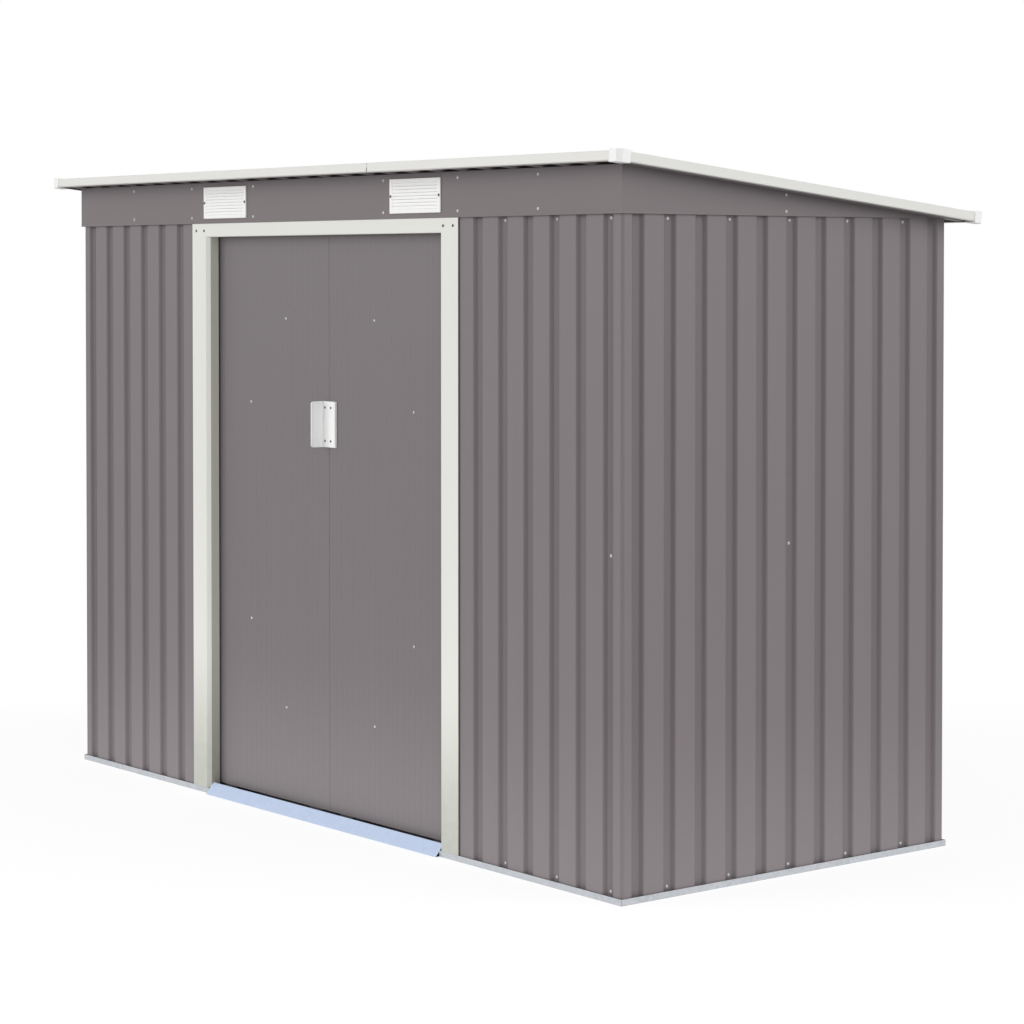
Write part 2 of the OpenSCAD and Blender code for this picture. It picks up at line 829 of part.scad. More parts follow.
base_rail_front_left();
base_rail_front_right();
base_rail_left();
base_rail_right();
base_rail_back();
door_sill();
door_track_bottom();
front_wall_left();
front_wall_right();
corner_front_left();
corner_front_right();
corner_back_left();
corner_back_right();
back_wall_left();
back_wall_right();
door_jamb_left();
door_jamb_right();
door_header();
top_rail_front();
top_rail_left();
top_rail_right();
top_rail_back();
door_track_top();
front_fascia();
gable_fascia_left();
gable_fascia_right();
fascia_brackets();
roof_beam();
vent_left();
vent_right();
roof_sheet_left();
roof_sheet_middle();
roof_sheet_right();
roof_trim_front_left();
roof_trim_front_right();
roof_trim_back();
roof_trim_left();
roof_trim_right();
roof_corner_caps();
left_door_panel();
left_door_runners();
left_handle();
right_door_panel();
right_door_runners();
right_handle();
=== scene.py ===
import math
import random
import bmesh
import bpy
from mathutils import Matrix, Vector


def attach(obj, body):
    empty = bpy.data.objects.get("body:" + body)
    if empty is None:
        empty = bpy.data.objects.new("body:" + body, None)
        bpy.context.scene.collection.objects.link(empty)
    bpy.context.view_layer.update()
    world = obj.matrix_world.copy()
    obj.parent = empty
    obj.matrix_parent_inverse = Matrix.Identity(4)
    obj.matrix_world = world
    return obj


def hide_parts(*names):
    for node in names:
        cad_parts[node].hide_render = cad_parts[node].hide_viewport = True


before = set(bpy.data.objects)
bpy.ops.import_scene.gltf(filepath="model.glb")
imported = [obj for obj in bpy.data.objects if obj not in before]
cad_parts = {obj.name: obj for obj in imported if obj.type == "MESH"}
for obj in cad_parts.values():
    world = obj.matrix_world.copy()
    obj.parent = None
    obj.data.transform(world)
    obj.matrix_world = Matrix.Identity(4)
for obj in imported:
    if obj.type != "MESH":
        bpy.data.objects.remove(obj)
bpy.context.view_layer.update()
random.seed(11)

# Sizes in millimetres: s runs along a wall, u inwards from its outer face, and z upwards
MM = 0.001
HALF_W, HALF_D = 1312.5, 577.5
SHEET_T, SECTION_T = 1.0, 1.5
PITCH = 105.0
GROOVE_W, GROOVE_FLOOR, GROOVE_DEEP = 40.0, 24.0, 10.0
FASCIA_BOTTOM, WALL_TOP = 1705.0, 1712.0
OPENING_HALF, JAMB_W, HEADER_Z = 571.5, 85.0, 1665.5
ROOF_RUN, ROOF_FALL = 1299.0, 137.0
ROOF_TILT = math.atan(ROOF_FALL / ROOF_RUN)
ROOF_HALF_W = 1384.5
ROOF_HALF_LEN = 0.5 * ROOF_RUN / math.cos(ROOF_TILT)
ROOF_MID_Z = 1788.5
EDGE_H = 25.0
PAN_BELOW, VALLEY_BELOW, ROOF_CLEAR = 12.2, 23.2, 0.3
DOOR_U, DOOR_BACK_U = 38.0, 56.0
DOOR_X0, DOOR_X1, DOOR_Z0, DOOR_Z1 = 1.0, 597.5, 30.0, 1676.0


# ------------------------------------------------------------------ placing

def on_front(s, u, z):
    return Vector((s, -HALF_D + u, z))


def on_back(s, u, z):
    return Vector((-s, HALF_D - u, z))


def on_right(s, u, z):
    return Vector((HALF_W - u, s, z))


def on_left(s, u, z):
    return Vector((-HALF_W + u, -s, z))


def on_roof(x, y, z):
    """Place on the sloping roof; y runs down the slope and z is 0 at the top of the roof edge."""
    down = y + math.tan(ROOF_TILT) * EDGE_H / 2
    c, s = math.cos(ROOF_TILT), math.sin(ROOF_TILT)
    return Vector((x, down * c + z * s, ROOF_MID_Z - down * s + z * c))


def roof_z(y, below):
    """Height, at y, of the sloping plane that lies this far below the top of the roof edge."""
    return ROOF_MID_Z - math.tan(ROOF_TILT) * y - below / math.cos(ROOF_TILT)


def under_roof(y):
    """Highest that a wall or band may reach without touching the roof sheets."""
    return roof_z(y, VALLEY_BELOW) - ROOF_CLEAR


def cut_at(place, s):
    """Plane across a wall or roof edge at the distance s along it."""
    return lambda u, z: place(s, u, z)


# ------------------------------------------------------------------ folded sheet

STRAIGHT = 0.02
FOLD_SHARE = 0.48
TIP_EASE, TIP_SHARE = 0.35, 0.28


def rounded(points, radius, steps):
    """Open polyline with every fold turned into an arc that takes less than half of each side."""
    pts = [Vector(p) for p in points]
    out = [pts[0]]
    for i in range(1, len(pts) - 1):
        a, b, c = pts[i - 1], pts[i], pts[i + 1]
        d0, d1 = (a - b).normalized(), (c - b).normalized()
        bend = math.pi - d0.angle(d1)
        if bend < STRAIGHT:
            out.append(b)
            continue
        r = radius[i] if isinstance(radius, (list, tuple)) else radius
        back = min(r * math.tan(bend / 2), FOLD_SHARE * (a - b).length, FOLD_SHARE * (c - b).length)
        r = back / math.tan(bend / 2)
        mid = (d0 + d1).normalized()
        centre = b + mid * math.hypot(r, back)
        start = b + d0 * back - centre
        turn = bend if d0.x * d1.y - d0.y * d1.x < 0 else -bend
        for k in range(steps + 1):
            spin = Matrix.Rotation(turn * k / steps, 2)
            out.append(centre + spin @ start)
    out.append(pts[-1])
    return out


def thick(line, t):
    """Pairs of points across a sheet whose face is the line; the tips are eased."""
    pairs = []
    n = len(line)
    for i, p in enumerate(line):
        before = (p - line[i - 1]).normalized() if i else None
        after = (line[i + 1] - p).normalized() if i < n - 1 else None
        way = after if before is None else before if after is None else (before + after).normalized()
        stretch = 1.0
        if before is not None and after is not None:
            stretch = 1.0 / max(0.5, before.dot(way))
        side = Vector((-way.y, way.x)) * t * stretch
        pairs.append((p.copy(), p + side))
    for end, step in ((0, 1), (n - 1, -1)):
        face, inner = pairs[end]
        way = (line[end + step] - line[end]).normalized() * TIP_EASE
        across = (inner - face) * TIP_SHARE
        eased = (face + across, inner - across)
        pairs[end] = (face + way, inner + way)
        if end == 0:
            pairs.insert(0, eased)
        else:
            pairs.append(eased)
    return pairs


def shell(verts, faces, name):
    """Mesh in metres from points in millimetres, with its faces turned outwards."""
    mesh = bpy.data.meshes.new(name)
    mesh.from_pydata([tuple(v * MM) for v in verts], [], faces)
    bm = bmesh.new()
    bm.from_mesh(mesh)
    bmesh.ops.recalc_face_normals(bm, faces=bm.faces)
    bm.to_mesh(mesh)
    bm.free()
    return mesh


def run(pairs, *stations):
    """Sweep the pairs through stations; each station turns a 2-D point into a place."""
    verts = []
    for station in stations:
        for face, inner in pairs:
            verts.append(station(face.x, face.y))
            verts.append(station(inner.x, inner.y))
    n = len(pairs)
    faces = []
    for j in range(len(stations) - 1):
        a, b = j * 2 * n, (j + 1) * 2 * n
        for i in range(n - 1):
            p, q = 2 * i, 2 * i + 2
            faces.append((a + p, a + q, b + q, b + p))
            faces.append((a + p + 1, b + p + 1, b + q + 1, a + q + 1))
        faces.append((a, b, b + 1, a + 1))
        last = 2 * n - 2
        faces.append((a + last, a + last + 1, b + last + 1, b + last))
    end = (len(stations) - 1) * 2 * n
    for i in range(n - 1):
        p, q = 2 * i, 2 * i + 2
        faces.append((p, p + 1, q + 1, q))
        faces.append((end + p, end + q, end + q + 1, end + p + 1))
    return verts, faces


def prism(loop, *stations):
    """Sweep a closed loop of points; both ends are closed with one face."""
    verts = [station(p[0], p[1]) for station in stations for p in loop]
    n = len(loop)
    faces = [tuple(range(n)), tuple(reversed(range(len(verts) - n, len(verts))))]
    for j in range(len(stations) - 1):
        for i in range(n):
            k = (i + 1) % n
            faces.append((j * n + i, j * n + k, (j + 1) * n + k, (j + 1) * n + i))
    return verts, faces


def block(place, s0, s1, u0, u1, z0, z1):
    return prism([(u0, z0), (u1, z0), (u1, z1), (u0, z1)], cut_at(place, s0), cut_at(place, s1))


def merge(*parts):
    verts, faces = [], []
    for v, f in parts:
        base = len(verts)
        verts += v
        faces += [tuple(i + base for i in face) for face in f]
    return verts, faces


def flipped(part):
    """The same shape on the other side of the middle."""
    verts, faces = part
    return [Vector((-v.x, v.y, v.z)) for v in verts], [tuple(reversed(f)) for f in faces]


def piece(name, part, body, material, nodes=(), bevel=0.0, sharp=38):
    mesh = shell(part[0], part[1], name)
    obj = bpy.data.objects.new(name, mesh)
    bpy.context.scene.collection.objects.link(obj)
    mesh.materials.append(material)
    finish_edges(obj, bevel, sharp)
    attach(obj, body)
    if nodes:
        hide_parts(*nodes)
    return obj


def mirrored(name, part, material, node):
    """One shape right and left of the middle, both fixed to the shed."""
    sides = (("_right", part), ("_left", flipped(part)))
    return [piece(name + side, shape, "shed", material, [node + side]) for side, shape in sides]


def finish_edges(obj, bevel, sharp):
    """Smooth faces, sharp folds and, where a bevel is given, eased edges."""
    mesh = obj.data
    mesh.polygons.foreach_set("use_smooth", [True] * len(mesh.polygons))
    mesh.set_sharp_from_angle(angle=math.radians(sharp))
    if bevel:
        ease = obj.modifiers.new("eased edges", "BEVEL")
        ease.width = bevel * MM
        ease.segments = 2
        ease.limit_method = "ANGLE"
        ease.angle_limit = math.radians(40)
        ease.harden_normals = False
        ease.use_clamp_overlap = True
    keep = obj.modifiers.new("flat faces stay flat", "WEIGHTED_NORMAL")
    keep.keep_sharp = True
    keep.weight = 60


# ------------------------------------------------------------------ materials

def new_group(name, inputs, outputs):
    """Shader node group; inputs are (name, socket, value) and outputs are (name, socket)."""
    tree = bpy.data.node_groups.new(name, "ShaderNodeTree")
    for label, kind, value in inputs:
        socket = tree.interface.new_socket(name=label, in_out="INPUT", socket_type=kind)
        socket.default_value = value
    for label, kind in outputs:
        tree.interface.new_socket(name=label, in_out="OUTPUT", socket_type=kind)
    tree.nodes.new("NodeGroupInput").name = "in"
    tree.nodes.new("NodeGroupOutput").name = "out"
    return tree


def add(tree, kind, **settings):
    node = tree.nodes.new(kind)
    for key, value in settings.items():
        setattr(node, key, value)
    return node


def noise(tree, where, scale, detail, rough):
    node = add(tree, "ShaderNodeTexNoise")
    tree.links.new(where, node.inputs["Vector"])
    node.inputs["Scale"].default_value = scale
    node.inputs["Detail"].default_value = detail
    node.inputs["Roughness"].default_value = rough
    return node.outputs["Fac"]


def remap(tree, value, a, b, c, d):
    """Carry the range a to b over to the range c to d."""
    node = add(tree, "ShaderNodeMapRange")
    tree.links.new(value, node.inputs["Value"])
    for key, number in (("From Min", a), ("From Max", b), ("To Min", c), ("To Max", d)):
        node.inputs[key].default_value = number
    return node.outputs["Result"]


def maths(tree, how, a, b=None, clamp=False):
    """Math node; a and b are sockets or numbers."""
    node = add(tree, "ShaderNodeMath", operation=how, use_clamp=clamp)
    for i, item in enumerate((a, b)):
        if item is None:
            continue
        if isinstance(item, (int, float)):
            node.inputs[i].default_value = item
        else:
            tree.links.new(item, node.inputs[i])
    return node.outputs[0]


def stretched(tree, where, sx, sy, sz):
    node = add(tree, "ShaderNodeMapping")
    tree.links.new(where, node.inputs["Vector"])
    node.inputs["Scale"].default_value = (sx, sy, sz)
    return node.outputs["Vector"]


def blend_colour(tree, fac, a, b, how="MIX"):
    node = add(tree, "ShaderNodeMix", data_type="RGBA", blend_type=how)
    for key, item in (("Factor", fac), ("A", a), ("B", b)):
        kind = "VALUE" if key == "Factor" else "RGBA"
        socket = next(s for s in node.inputs if s.name == key and s.type == kind)
        if isinstance(item, (int, float, tuple)):
            socket.default_value = item
        else:
            tree.links.new(item, socket)
    return next(s for s in node.outputs if s.type == "RGBA")


def coat_wear_and_shade_group():
    """Soft cloudiness, faint rain streaks, painted shade in the grooves, and dust near the ground that is
    also painted light and shade low down.
    """
    tree = new_group(
        "weathered coat and painted shade",
        [
            ("Colour", "NodeSocketColor", (0.5, 0.5, 0.5, 1)),
            ("Dust", "NodeSocketColor", (0.45, 0.42, 0.38, 1)),
            ("Cloud", "NodeSocketFloat", 0.05),
            ("Dusty", "NodeSocketFloat", 0.1),
            ("Reach", "NodeSocketFloat", 0.5),
            ("Grime", "NodeSocketFloat", 0.0),
        ],
        [("Colour", "NodeSocketColor"), ("Gloss", "NodeSocketFloat")],
    )
    start, end = tree.nodes["in"], tree.nodes["out"]
    place = add(tree, "ShaderNodeTexCoord").outputs["Object"]
    wide = noise(tree, place, 2.3, 4.0, 0.55)
    streak = noise(tree, stretched(tree, place, 34.0, 34.0, 1.1), 1.0, 3.0, 0.6)
    both = maths(tree, "ADD", maths(tree, "MULTIPLY", wide, 0.6), maths(tree, "MULTIPLY", streak, 0.4))
    swing = maths(tree, "MULTIPLY", maths(tree, "SUBTRACT", both, 0.5), start.outputs["Cloud"])
    level = maths(tree, "ADD", swing, 1.0)
    height = add(tree, "ShaderNodeSeparateXYZ")
    tree.links.new(place, height.inputs[0])
    from_side = maths(tree, "SUBTRACT", HALF_W * MM, maths(tree, "ABSOLUTE", height.outputs["X"]))
    from_end = maths(tree, "SUBTRACT", HALF_D * MM, maths(tree, "ABSOLUTE", height.outputs["Y"]))
    # Painted shade: faces sunk 1 to 9.5 mm behind the outer faces, the grooves, are darkened as if occluded
    sunk = remap(tree, maths(tree, "MINIMUM", from_side, from_end), 0.001, 0.0095, 0.0, 1.0)
    level = maths(tree, "SUBTRACT", level, maths(tree, "MULTIPLY", sunk, start.outputs["Grime"]))
    toned = blend_colour(tree, 1.0, start.outputs["Colour"], level, "MULTIPLY")
    # Dust near the ground, and also painted light and shade: it lightens grey sheet and darkens the ivory
    # frame towards the bottom
    near_ground = add(tree, "ShaderNodeMapRange", interpolation_type="SMOOTHSTEP")
    tree.links.new(height.outputs["Z"], near_ground.inputs["Value"])
    tree.links.new(start.outputs["Reach"], near_ground.inputs["From Max"])
    near_ground.inputs["To Min"].default_value = 1.0
    near_ground.inputs["To Max"].default_value = 0.0
    low = near_ground.outputs["Result"]
    speck = remap(tree, noise(tree, place, 42.0, 5.0, 0.65), 0.3, 0.6, 0.85, 1.0)
    ground_dust_and_light = maths(tree, "MULTIPLY", maths(tree, "MULTIPLY", low, speck), start.outputs["Dusty"], clamp=True)
    tree.links.new(blend_colour(tree, ground_dust_and_light, toned, start.outputs["Dust"]), end.inputs["Colour"])
    tree.links.new(maths(tree, "ADD", maths(tree, "MULTIPLY", streak, 0.5), ground_dust_and_light), end.inputs["Gloss"])
    return tree


def paint_skin_group():
    """Fine orange-peel of baked paint over slight waviness of thin sheet."""
    tree = new_group(
        "paint skin",
        [("Peel", "NodeSocketFloat", 0.1), ("Wave", "NodeSocketFloat", 0.1)],
        [("Normal", "NodeSocketVector")],
    )
    start, end = tree.nodes["in"], tree.nodes["out"]
    place = add(tree, "ShaderNodeTexCoord").outputs["Object"]
    peel = noise(tree, place, 620.0, 2.0, 0.5)
    wave = noise(tree, stretched(tree, place, 1.0, 1.0, 0.55), 5.5, 1.0, 0.4)
    broad = add(tree, "ShaderNodeBump")
    broad.inputs["Distance"].default_value = 0.004
    tree.links.new(start.outputs["Wave"], broad.inputs["Strength"])
    tree.links.new(wave, broad.inputs["Height"])
    fine = add(tree, "ShaderNodeBump")
    fine.inputs["Distance"].default_value = 0.0002
    tree.links.new(start.outputs["Peel"], fine.inputs["Strength"])
    tree.links.new(peel, fine.inputs["Height"])
    tree.links.new(broad.outputs["Normal"], fine.inputs["Normal"])
    tree.links.new(fine.outputs["Normal"], end.inputs["Normal"])
    return tree


def zinc_flower_group():
    """Crystal flowers of hot-dip zinc with a little dull bloom between them."""
    tree = new_group(
        "zinc flowers",
        [
            ("Light", "NodeSocketColor", (0.7, 0.73, 0.78, 1)),
            ("Dark", "NodeSocketColor", (0.5, 0.53, 0.57, 1)),
            ("Size", "NodeSocketFloat", 90.0),
        ],
        [("Colour", "NodeSocketColor"), ("Rough", "NodeSocketFloat"), ("Normal", "NodeSocketVector")],
    )
    start, end = tree.nodes["in"], tree.nodes["out"]
    place = add(tree, "ShaderNodeTexCoord").outputs["Object"]
    cells = add(tree, "ShaderNodeTexVoronoi", feature="F1")
    tree.links.new(place, cells.inputs["Vector"])
    tree.links.new(start.outputs["Size"], cells.inputs["Scale"])
    cells.inputs["Randomness"].default_value = 1.0
    parts = add(tree, "ShaderNodeSeparateColor")
    tree.links.new(cells.outputs["Color"], parts.inputs[0])
    bloom = noise(tree, place, 9.0, 4.0, 0.6)
    tint = maths(tree, "MULTIPLY", parts.outputs[0], remap(tree, bloom, 0.35, 0.65, 0.45, 1.0))
    flower = blend_colour(tree, tint, start.outputs["Light"], start.outputs["Dark"])
    tree.links.new(flower, end.inputs["Colour"])
    tree.links.new(remap(tree, parts.outputs[1], 0.0, 1.0, 0.34, 0.52), end.inputs["Rough"])
    scratch = noise(tree, stretched(tree, place, 8.0, 260.0, 260.0), 1.0, 2.0, 0.5)
    bump = add(tree, "ShaderNodeBump")
    bump.inputs["Strength"].default_value = 0.12
    bump.inputs["Distance"].default_value = 0.0003
    tree.links.new(maths(tree, "ADD", scratch, parts.outputs[2]), bump.inputs["Height"])
    tree.links.new(bump.outputs["Normal"], end.inputs["Normal"])
    return tree


WEAR_AND_SHADE = coat_wear_and_shade_group()
SKIN = paint_skin_group()
ZINC = zinc_flower_group()


def use_group(tree, group, **values):
    node = add(tree, "ShaderNodeGroup", node_tree=group)
    for key, value in values.items():
        node.inputs[key].default_value = value
    return node


def new_material(name):
    mat = bpy.data.materials.new(name)
    mat.use_nodes = True
    return mat, mat.node_tree, mat.node_tree.nodes["Principled BSDF"]


def painted(name, colour, ground_dust_and_light, cloud, ground_dust_and_light_amount, rough, peel, wave, specular=0.45, groove_shade=0.0):
    """Baked paint or moulded plastic; dusty places are duller than clean ones."""
    mat, tree, shader = new_material(name)
    coat_and_shade = use_group(
        tree, WEAR_AND_SHADE, Colour=(*colour, 1), Dust=(*ground_dust_and_light, 1), Cloud=cloud, Dusty=ground_dust_and_light_amount, Grime=groove_shade)
    skin = use_group(tree, SKIN, Peel=peel, Wave=wave)
    dull = remap(tree, coat_and_shade.outputs["Gloss"], 0.0, 1.0, rough - 0.05, rough + 0.12)
    tree.links.new(coat_and_shade.outputs["Colour"], shader.inputs["Base Color"])
    tree.links.new(dull, shader.inputs["Roughness"])
    tree.links.new(skin.outputs["Normal"], shader.inputs["Normal"])
    shader.inputs["Specular IOR Level"].default_value = specular
    return mat


def zinced(name, light, dark, size, metal):
    """Galvanised steel; size is the number of crystal flowers to a metre."""
    mat, tree, shader = new_material(name)
    zinc = use_group(tree, ZINC, Light=(*light, 1), Dark=(*dark, 1), Size=size)
    tree.links.new(zinc.outputs["Colour"], shader.inputs["Base Color"])
    tree.links.new(zinc.outputs["Rough"], shader.inputs["Roughness"])
    tree.links.new(zinc.outputs["Normal"], shader.inputs["Normal"])
    shader.inputs["Metallic"].default_value = metal
    return mat


GREY_DUST_AND_LOW_LIGHT = (0.36, 0.33, 0.335)
PLASTIC_DUST = (0.7, 0.68, 0.64)
MATT = 0.35
# The wall paint darkens its grooves as painted shade, and grows lighter near the ground: dust, and also
# painted light
wall_paint = painted(
    "warm grey baked wall paint", (0.201, 0.175, 0.183), GREY_DUST_AND_LOW_LIGHT,
    cloud=0.10, ground_dust_and_light_amount=0.14, rough=0.42, peel=0.25, wave=0.10, specular=MATT, groove_shade=0.21)
band_paint = painted(
    "warm grey baked roof paint", (0.184, 0.160, 0.165), GREY_DUST_AND_LOW_LIGHT,
    cloud=0.10, ground_dust_and_light_amount=0.0, rough=0.42, peel=0.25, wave=0.08, specular=MATT)
door_paint = painted(
    "warm grey baked door paint", (0.180, 0.160, 0.166), GREY_DUST_AND_LOW_LIGHT,
    cloud=0.09, ground_dust_and_light_amount=0.20, rough=0.40, peel=0.22, wave=0.06, specular=MATT)
# Near the ground the frame paint darkens towards its dust colour: dust, and also painted shade
ivory_paint = painted(
    "ivory baked frame paint", (0.80, 0.80, 0.75), (0.42, 0.43, 0.375),
    cloud=0.05, ground_dust_and_light_amount=0.85, rough=0.38, peel=0.2, wave=0.04)
# Painted shade: a darker copy of the ivory paint for the frame's returns
shaded_return_paint = painted(
    "ivory paint darkened as painted shade on the frame returns", (0.60, 0.60, 0.525), (0.34, 0.34, 0.29),
    cloud=0.06, ground_dust_and_light_amount=0.9, rough=0.45, peel=0.2, wave=0.03)
trim_paint = painted(
    "ivory baked roof trim paint", (0.785, 0.78, 0.745), (0.6, 0.58, 0.53),
    cloud=0.04, ground_dust_and_light_amount=0.0, rough=0.36, peel=0.2, wave=0.05)
white_plastic = painted(
    "moulded white plastic", (0.93, 0.93, 0.92), PLASTIC_DUST,
    cloud=0.02, ground_dust_and_light_amount=0.0, rough=0.34, peel=0.3, wave=0.02)
rail_zinc = zinced("galvanised rail steel", (0.51, 0.53, 0.56), (0.43, 0.45, 0.49), 95.0, 0.3)
sill_zinc = zinced("bluish galvanised sill steel", (0.55, 0.655, 0.85), (0.50, 0.605, 0.80), 70.0, 0.15)
inner_zinc = zinced("galvanised inner steel", (0.52, 0.55, 0.58), (0.40, 0.43, 0.46), 80.0, 0.55)
screw_bright = zinced("bright zinc screws", (0.66, 0.66, 0.65), (0.56, 0.56, 0.555), 500.0, 0.2)
screw_dark = zinced("dull zinc screws", (0.13, 0.13, 0.13), (0.08, 0.08, 0.08), 500.0, 0.5)

# Painted light: the grip is a brighter copy of the white plastic, standing in for light that its recess
# keeps off
brightened_grip_plastic = painted(
    "white grip plastic brightened as painted light", (0.985, 0.985, 0.98), PLASTIC_DUST,
    cloud=0.02, ground_dust_and_light_amount=0.0, rough=0.3, peel=0.2, wave=0.01, specular=0.6)
let_through = brightened_grip_plastic.node_tree.nodes["Principled BSDF"]
let_through.inputs["Subsurface Weight"].default_value = 0.4
let_through.inputs["Subsurface Radius"].default_value = (1.0, 1.0, 1.0)
let_through.inputs["Subsurface Scale"].default_value = 0.004
vent_plastic = painted(
    "off-white vent plastic", (0.975, 0.97, 0.96), PLASTIC_DUST,
    cloud=0.02, ground_dust_and_light_amount=0.0, rough=0.36, peel=0.3, wave=0.02)
dark_plastic = painted(
    "dark moulded runner plastic", (0.045, 0.045, 0.047), GREY_DUST_AND_LOW_LIGHT,
    cloud=0.2, ground_dust_and_light_amount=0.1, rough=0.45, peel=0.3, wave=0.02)


# ------------------------------------------------------------------ base rails and sill

RAIL_OUT_U, RAIL_IN_U, RAIL_LIP_Z = -4.5, 50.0, 17.0
WEB_U, WEB_Z0, WEB_Z1 = 12.5, 0.6, 38.0
WEB_SHORT = 1.8
RAIL_FOLD = 2.2
SEAM = 0.35


def rail_tray(place, start_s, end_s, web_start=None):
    """Tray with an outer lip, and the upright behind the wall sheet."""
    lip = [(RAIL_OUT_U, RAIL_LIP_Z), (RAIL_OUT_U, 0.0), (RAIL_IN_U, 0.0)]
    tray = thick(rounded(lip, RAIL_FOLD, 4), SECTION_T)
    web = thick([Vector((WEB_U, WEB_Z0)), Vector((WEB_U, WEB_Z1))], SECTION_T)
    web_s = web_start or start_s
    return merge(
        run(tray, lambda u, z: place(start_s(u), u, z), lambda u, z: place(end_s(u), u, z)),
        run(web, lambda u, z: place(web_s(u), u, z), lambda u, z: place(end_s(u), u, z)),
    )


def mitred(half):
    """Both ends of a rail that meets its neighbours on the corners' diagonals."""
    return lambda u: -(half - u - SEAM), lambda u: half - u - SEAM


front_rail = rail_tray(
    on_front, lambda u: OPENING_HALF, mitred(HALF_W)[1], web_start=lambda u: OPENING_HALF + WEB_SHORT)
mirrored("front_rail", front_rail, rail_zinc, "base_rail_front")
back_rail = rail_tray(on_back, *mitred(HALF_W))
piece("back_rail", back_rail, "shed", rail_zinc, ["base_rail_back"])
for name, place in (("right", on_right), ("left", on_left)):
    rail = rail_tray(place, *mitred(HALF_D))
    piece("side_rail_" + name, rail, "shed", rail_zinc, ["base_rail_" + name])

SILL_HALF = 571.2
sill_loop = [(-17, 0), (-14.7, 0), (11, 31.0), (11, 0), (12.5, 0), (12.5, 33), (11, 33)]
sill = prism(sill_loop, cut_at(on_front, -SILL_HALF), cut_at(on_front, SILL_HALF))
piece("sloped_sill", sill, "shed", sill_zinc, ["door_sill"], bevel=0.7)


# ------------------------------------------------------------------ wall sheets

SHEET_FOOT, SHEET_FOLD, CORNER_FOLD = 1.5, 5.5, 10.0
GAP = 0.25
FRONT_SHEET_END = 668.0


def groove_in(c):
    return [(c - GROOVE_W / 2, 0.0), (c - GROOVE_FLOOR / 2, GROOVE_DEEP)]


def groove_out(c):
    return [(c + GROOVE_FLOOR / 2, GROOVE_DEEP), (c + GROOVE_W / 2, 0.0)]


def grooves(first, count):
    return [p for i in range(count) for p in groove_in(first + i * PITCH) + groove_out(first + i * PITCH)]


def sheet_top(point):
    return min(WALL_TOP, under_roof(point.y))


def standing(line, place):
    """A sheet standing on the rails, cut by the underside of the roof."""
    pairs = thick(rounded(line, SHEET_FOLD, 6), SHEET_T)

    def top(s, u):
        foot = place(s, u, 0.0)
        return place(s, u, sheet_top(foot))
    return run(pairs, lambda s, u: place(s, u, SHEET_FOOT), top)


# Along the front and back, s runs from the right corner towards the middle
from_seam = [(PITCH / 2 + GAP, GROOVE_DEEP)] + groove_out(PITCH / 2)
front_line = from_seam + grooves(1.5 * PITCH, 5) + [(FRONT_SHEET_END, 0.0)]
front_sheet = standing(front_line, lambda s, u, z: Vector((HALF_W - s, -HALF_D + u, z)))
mirrored("front_sheet", front_sheet, wall_paint, "front_wall")


def corner_plan():
    """Face line of a corner sheet seen from above, from the front seam round to the side seam."""
    c = PITCH / 2
    front = [(-c + GAP, GROOVE_DEEP)] + groove_out(-c)
    corner = [(0.0, 0.0)]
    side = [(-u, s) for s, u in grooves(c, 5) + groove_in(HALF_D)] + [(-GROOVE_DEEP, HALF_D - GAP)]
    line = front + corner + side
    radii = [SHEET_FOLD] * len(line)
    radii[len(front)] = CORNER_FOLD
    return rounded(line, radii, 7)


def corner_sheet(end):
    """Right-hand corner sheet; end is 1 at the front and -1 at the back."""
    def foot(x, y):
        return Vector((HALF_W + x, end * (-HALF_D + y), 0.0))

    def bottom(x, y):
        return foot(x, y) + Vector((0, 0, SHEET_FOOT))

    def top(x, y):
        return foot(x, y) + Vector((0, 0, sheet_top(foot(x, y))))
    return run(thick(corner_plan(), SHEET_T), bottom, top)


mirrored("corner_sheet_front", corner_sheet(1), wall_paint, "corner_front")
mirrored("corner_sheet_back", corner_sheet(-1), wall_paint, "corner_back")

back_line = from_seam + grooves(1.5 * PITCH, 11) + groove_in(HALF_W) + [(HALF_W - GAP, GROOVE_DEEP)]
back_sheet = standing(back_line, lambda s, u, z: Vector((HALF_W - s, HALF_D - u, z)))
mirrored("back_sheet", back_sheet, wall_paint, "back_wall")


# ------------------------------------------------------------------ door frame

FRAME_U, RETURN_U = -5.0, 33.0
FRAME_FOLD = 2.4
BEVEL_W, BEVEL_U = 11.0, 5.0
MITRE_GAP = 0.2
HEADER_H = WALL_TOP - HEADER_Z
JAMB_FOOT = RAIL_LIP_Z + 0.3
SHADED_FROM_U = 7.0


def frame_pairs(flat, edge):
    """Section of the frame: d is the distance from the opening; flat gives the stops on its face."""
    line = [(d, FRAME_U) for d in flat] + edge + [(0.0, RETURN_U)]
    return thick(rounded(line, FRAME_FOLD, 4), -SECTION_T)


def jamb_foot(d, u):
    return on_front(OPENING_HALF + d, u, JAMB_FOOT)


def jamb_top(d, u):
    """The jamb is cut to the header's mitre, then level with the top of the walls."""
    return on_front(OPENING_HALF + d, u, min(HEADER_Z + d - MITRE_GAP, WALL_TOP))


def shade_frame_returns(obj):
    """The parts of the frame that turn in towards the doors get a darker copy of the ivory paint, as painted
    shade.
    """
    obj.data.materials.append(shaded_return_paint)
    for face in obj.data.polygons:
        if face.center.y > (SHADED_FROM_U - HALF_D) * MM:
            face.material_index = 1


jamb_pairs = frame_pairs((JAMB_W, 60.0, HEADER_H + MITRE_GAP, BEVEL_W), [(0.0, BEVEL_U)])
jamb = run(jamb_pairs, jamb_foot, jamb_top)
for jamb_piece in mirrored("jamb", jamb, ivory_paint, "door_jamb"):
    shade_frame_returns(jamb_piece)


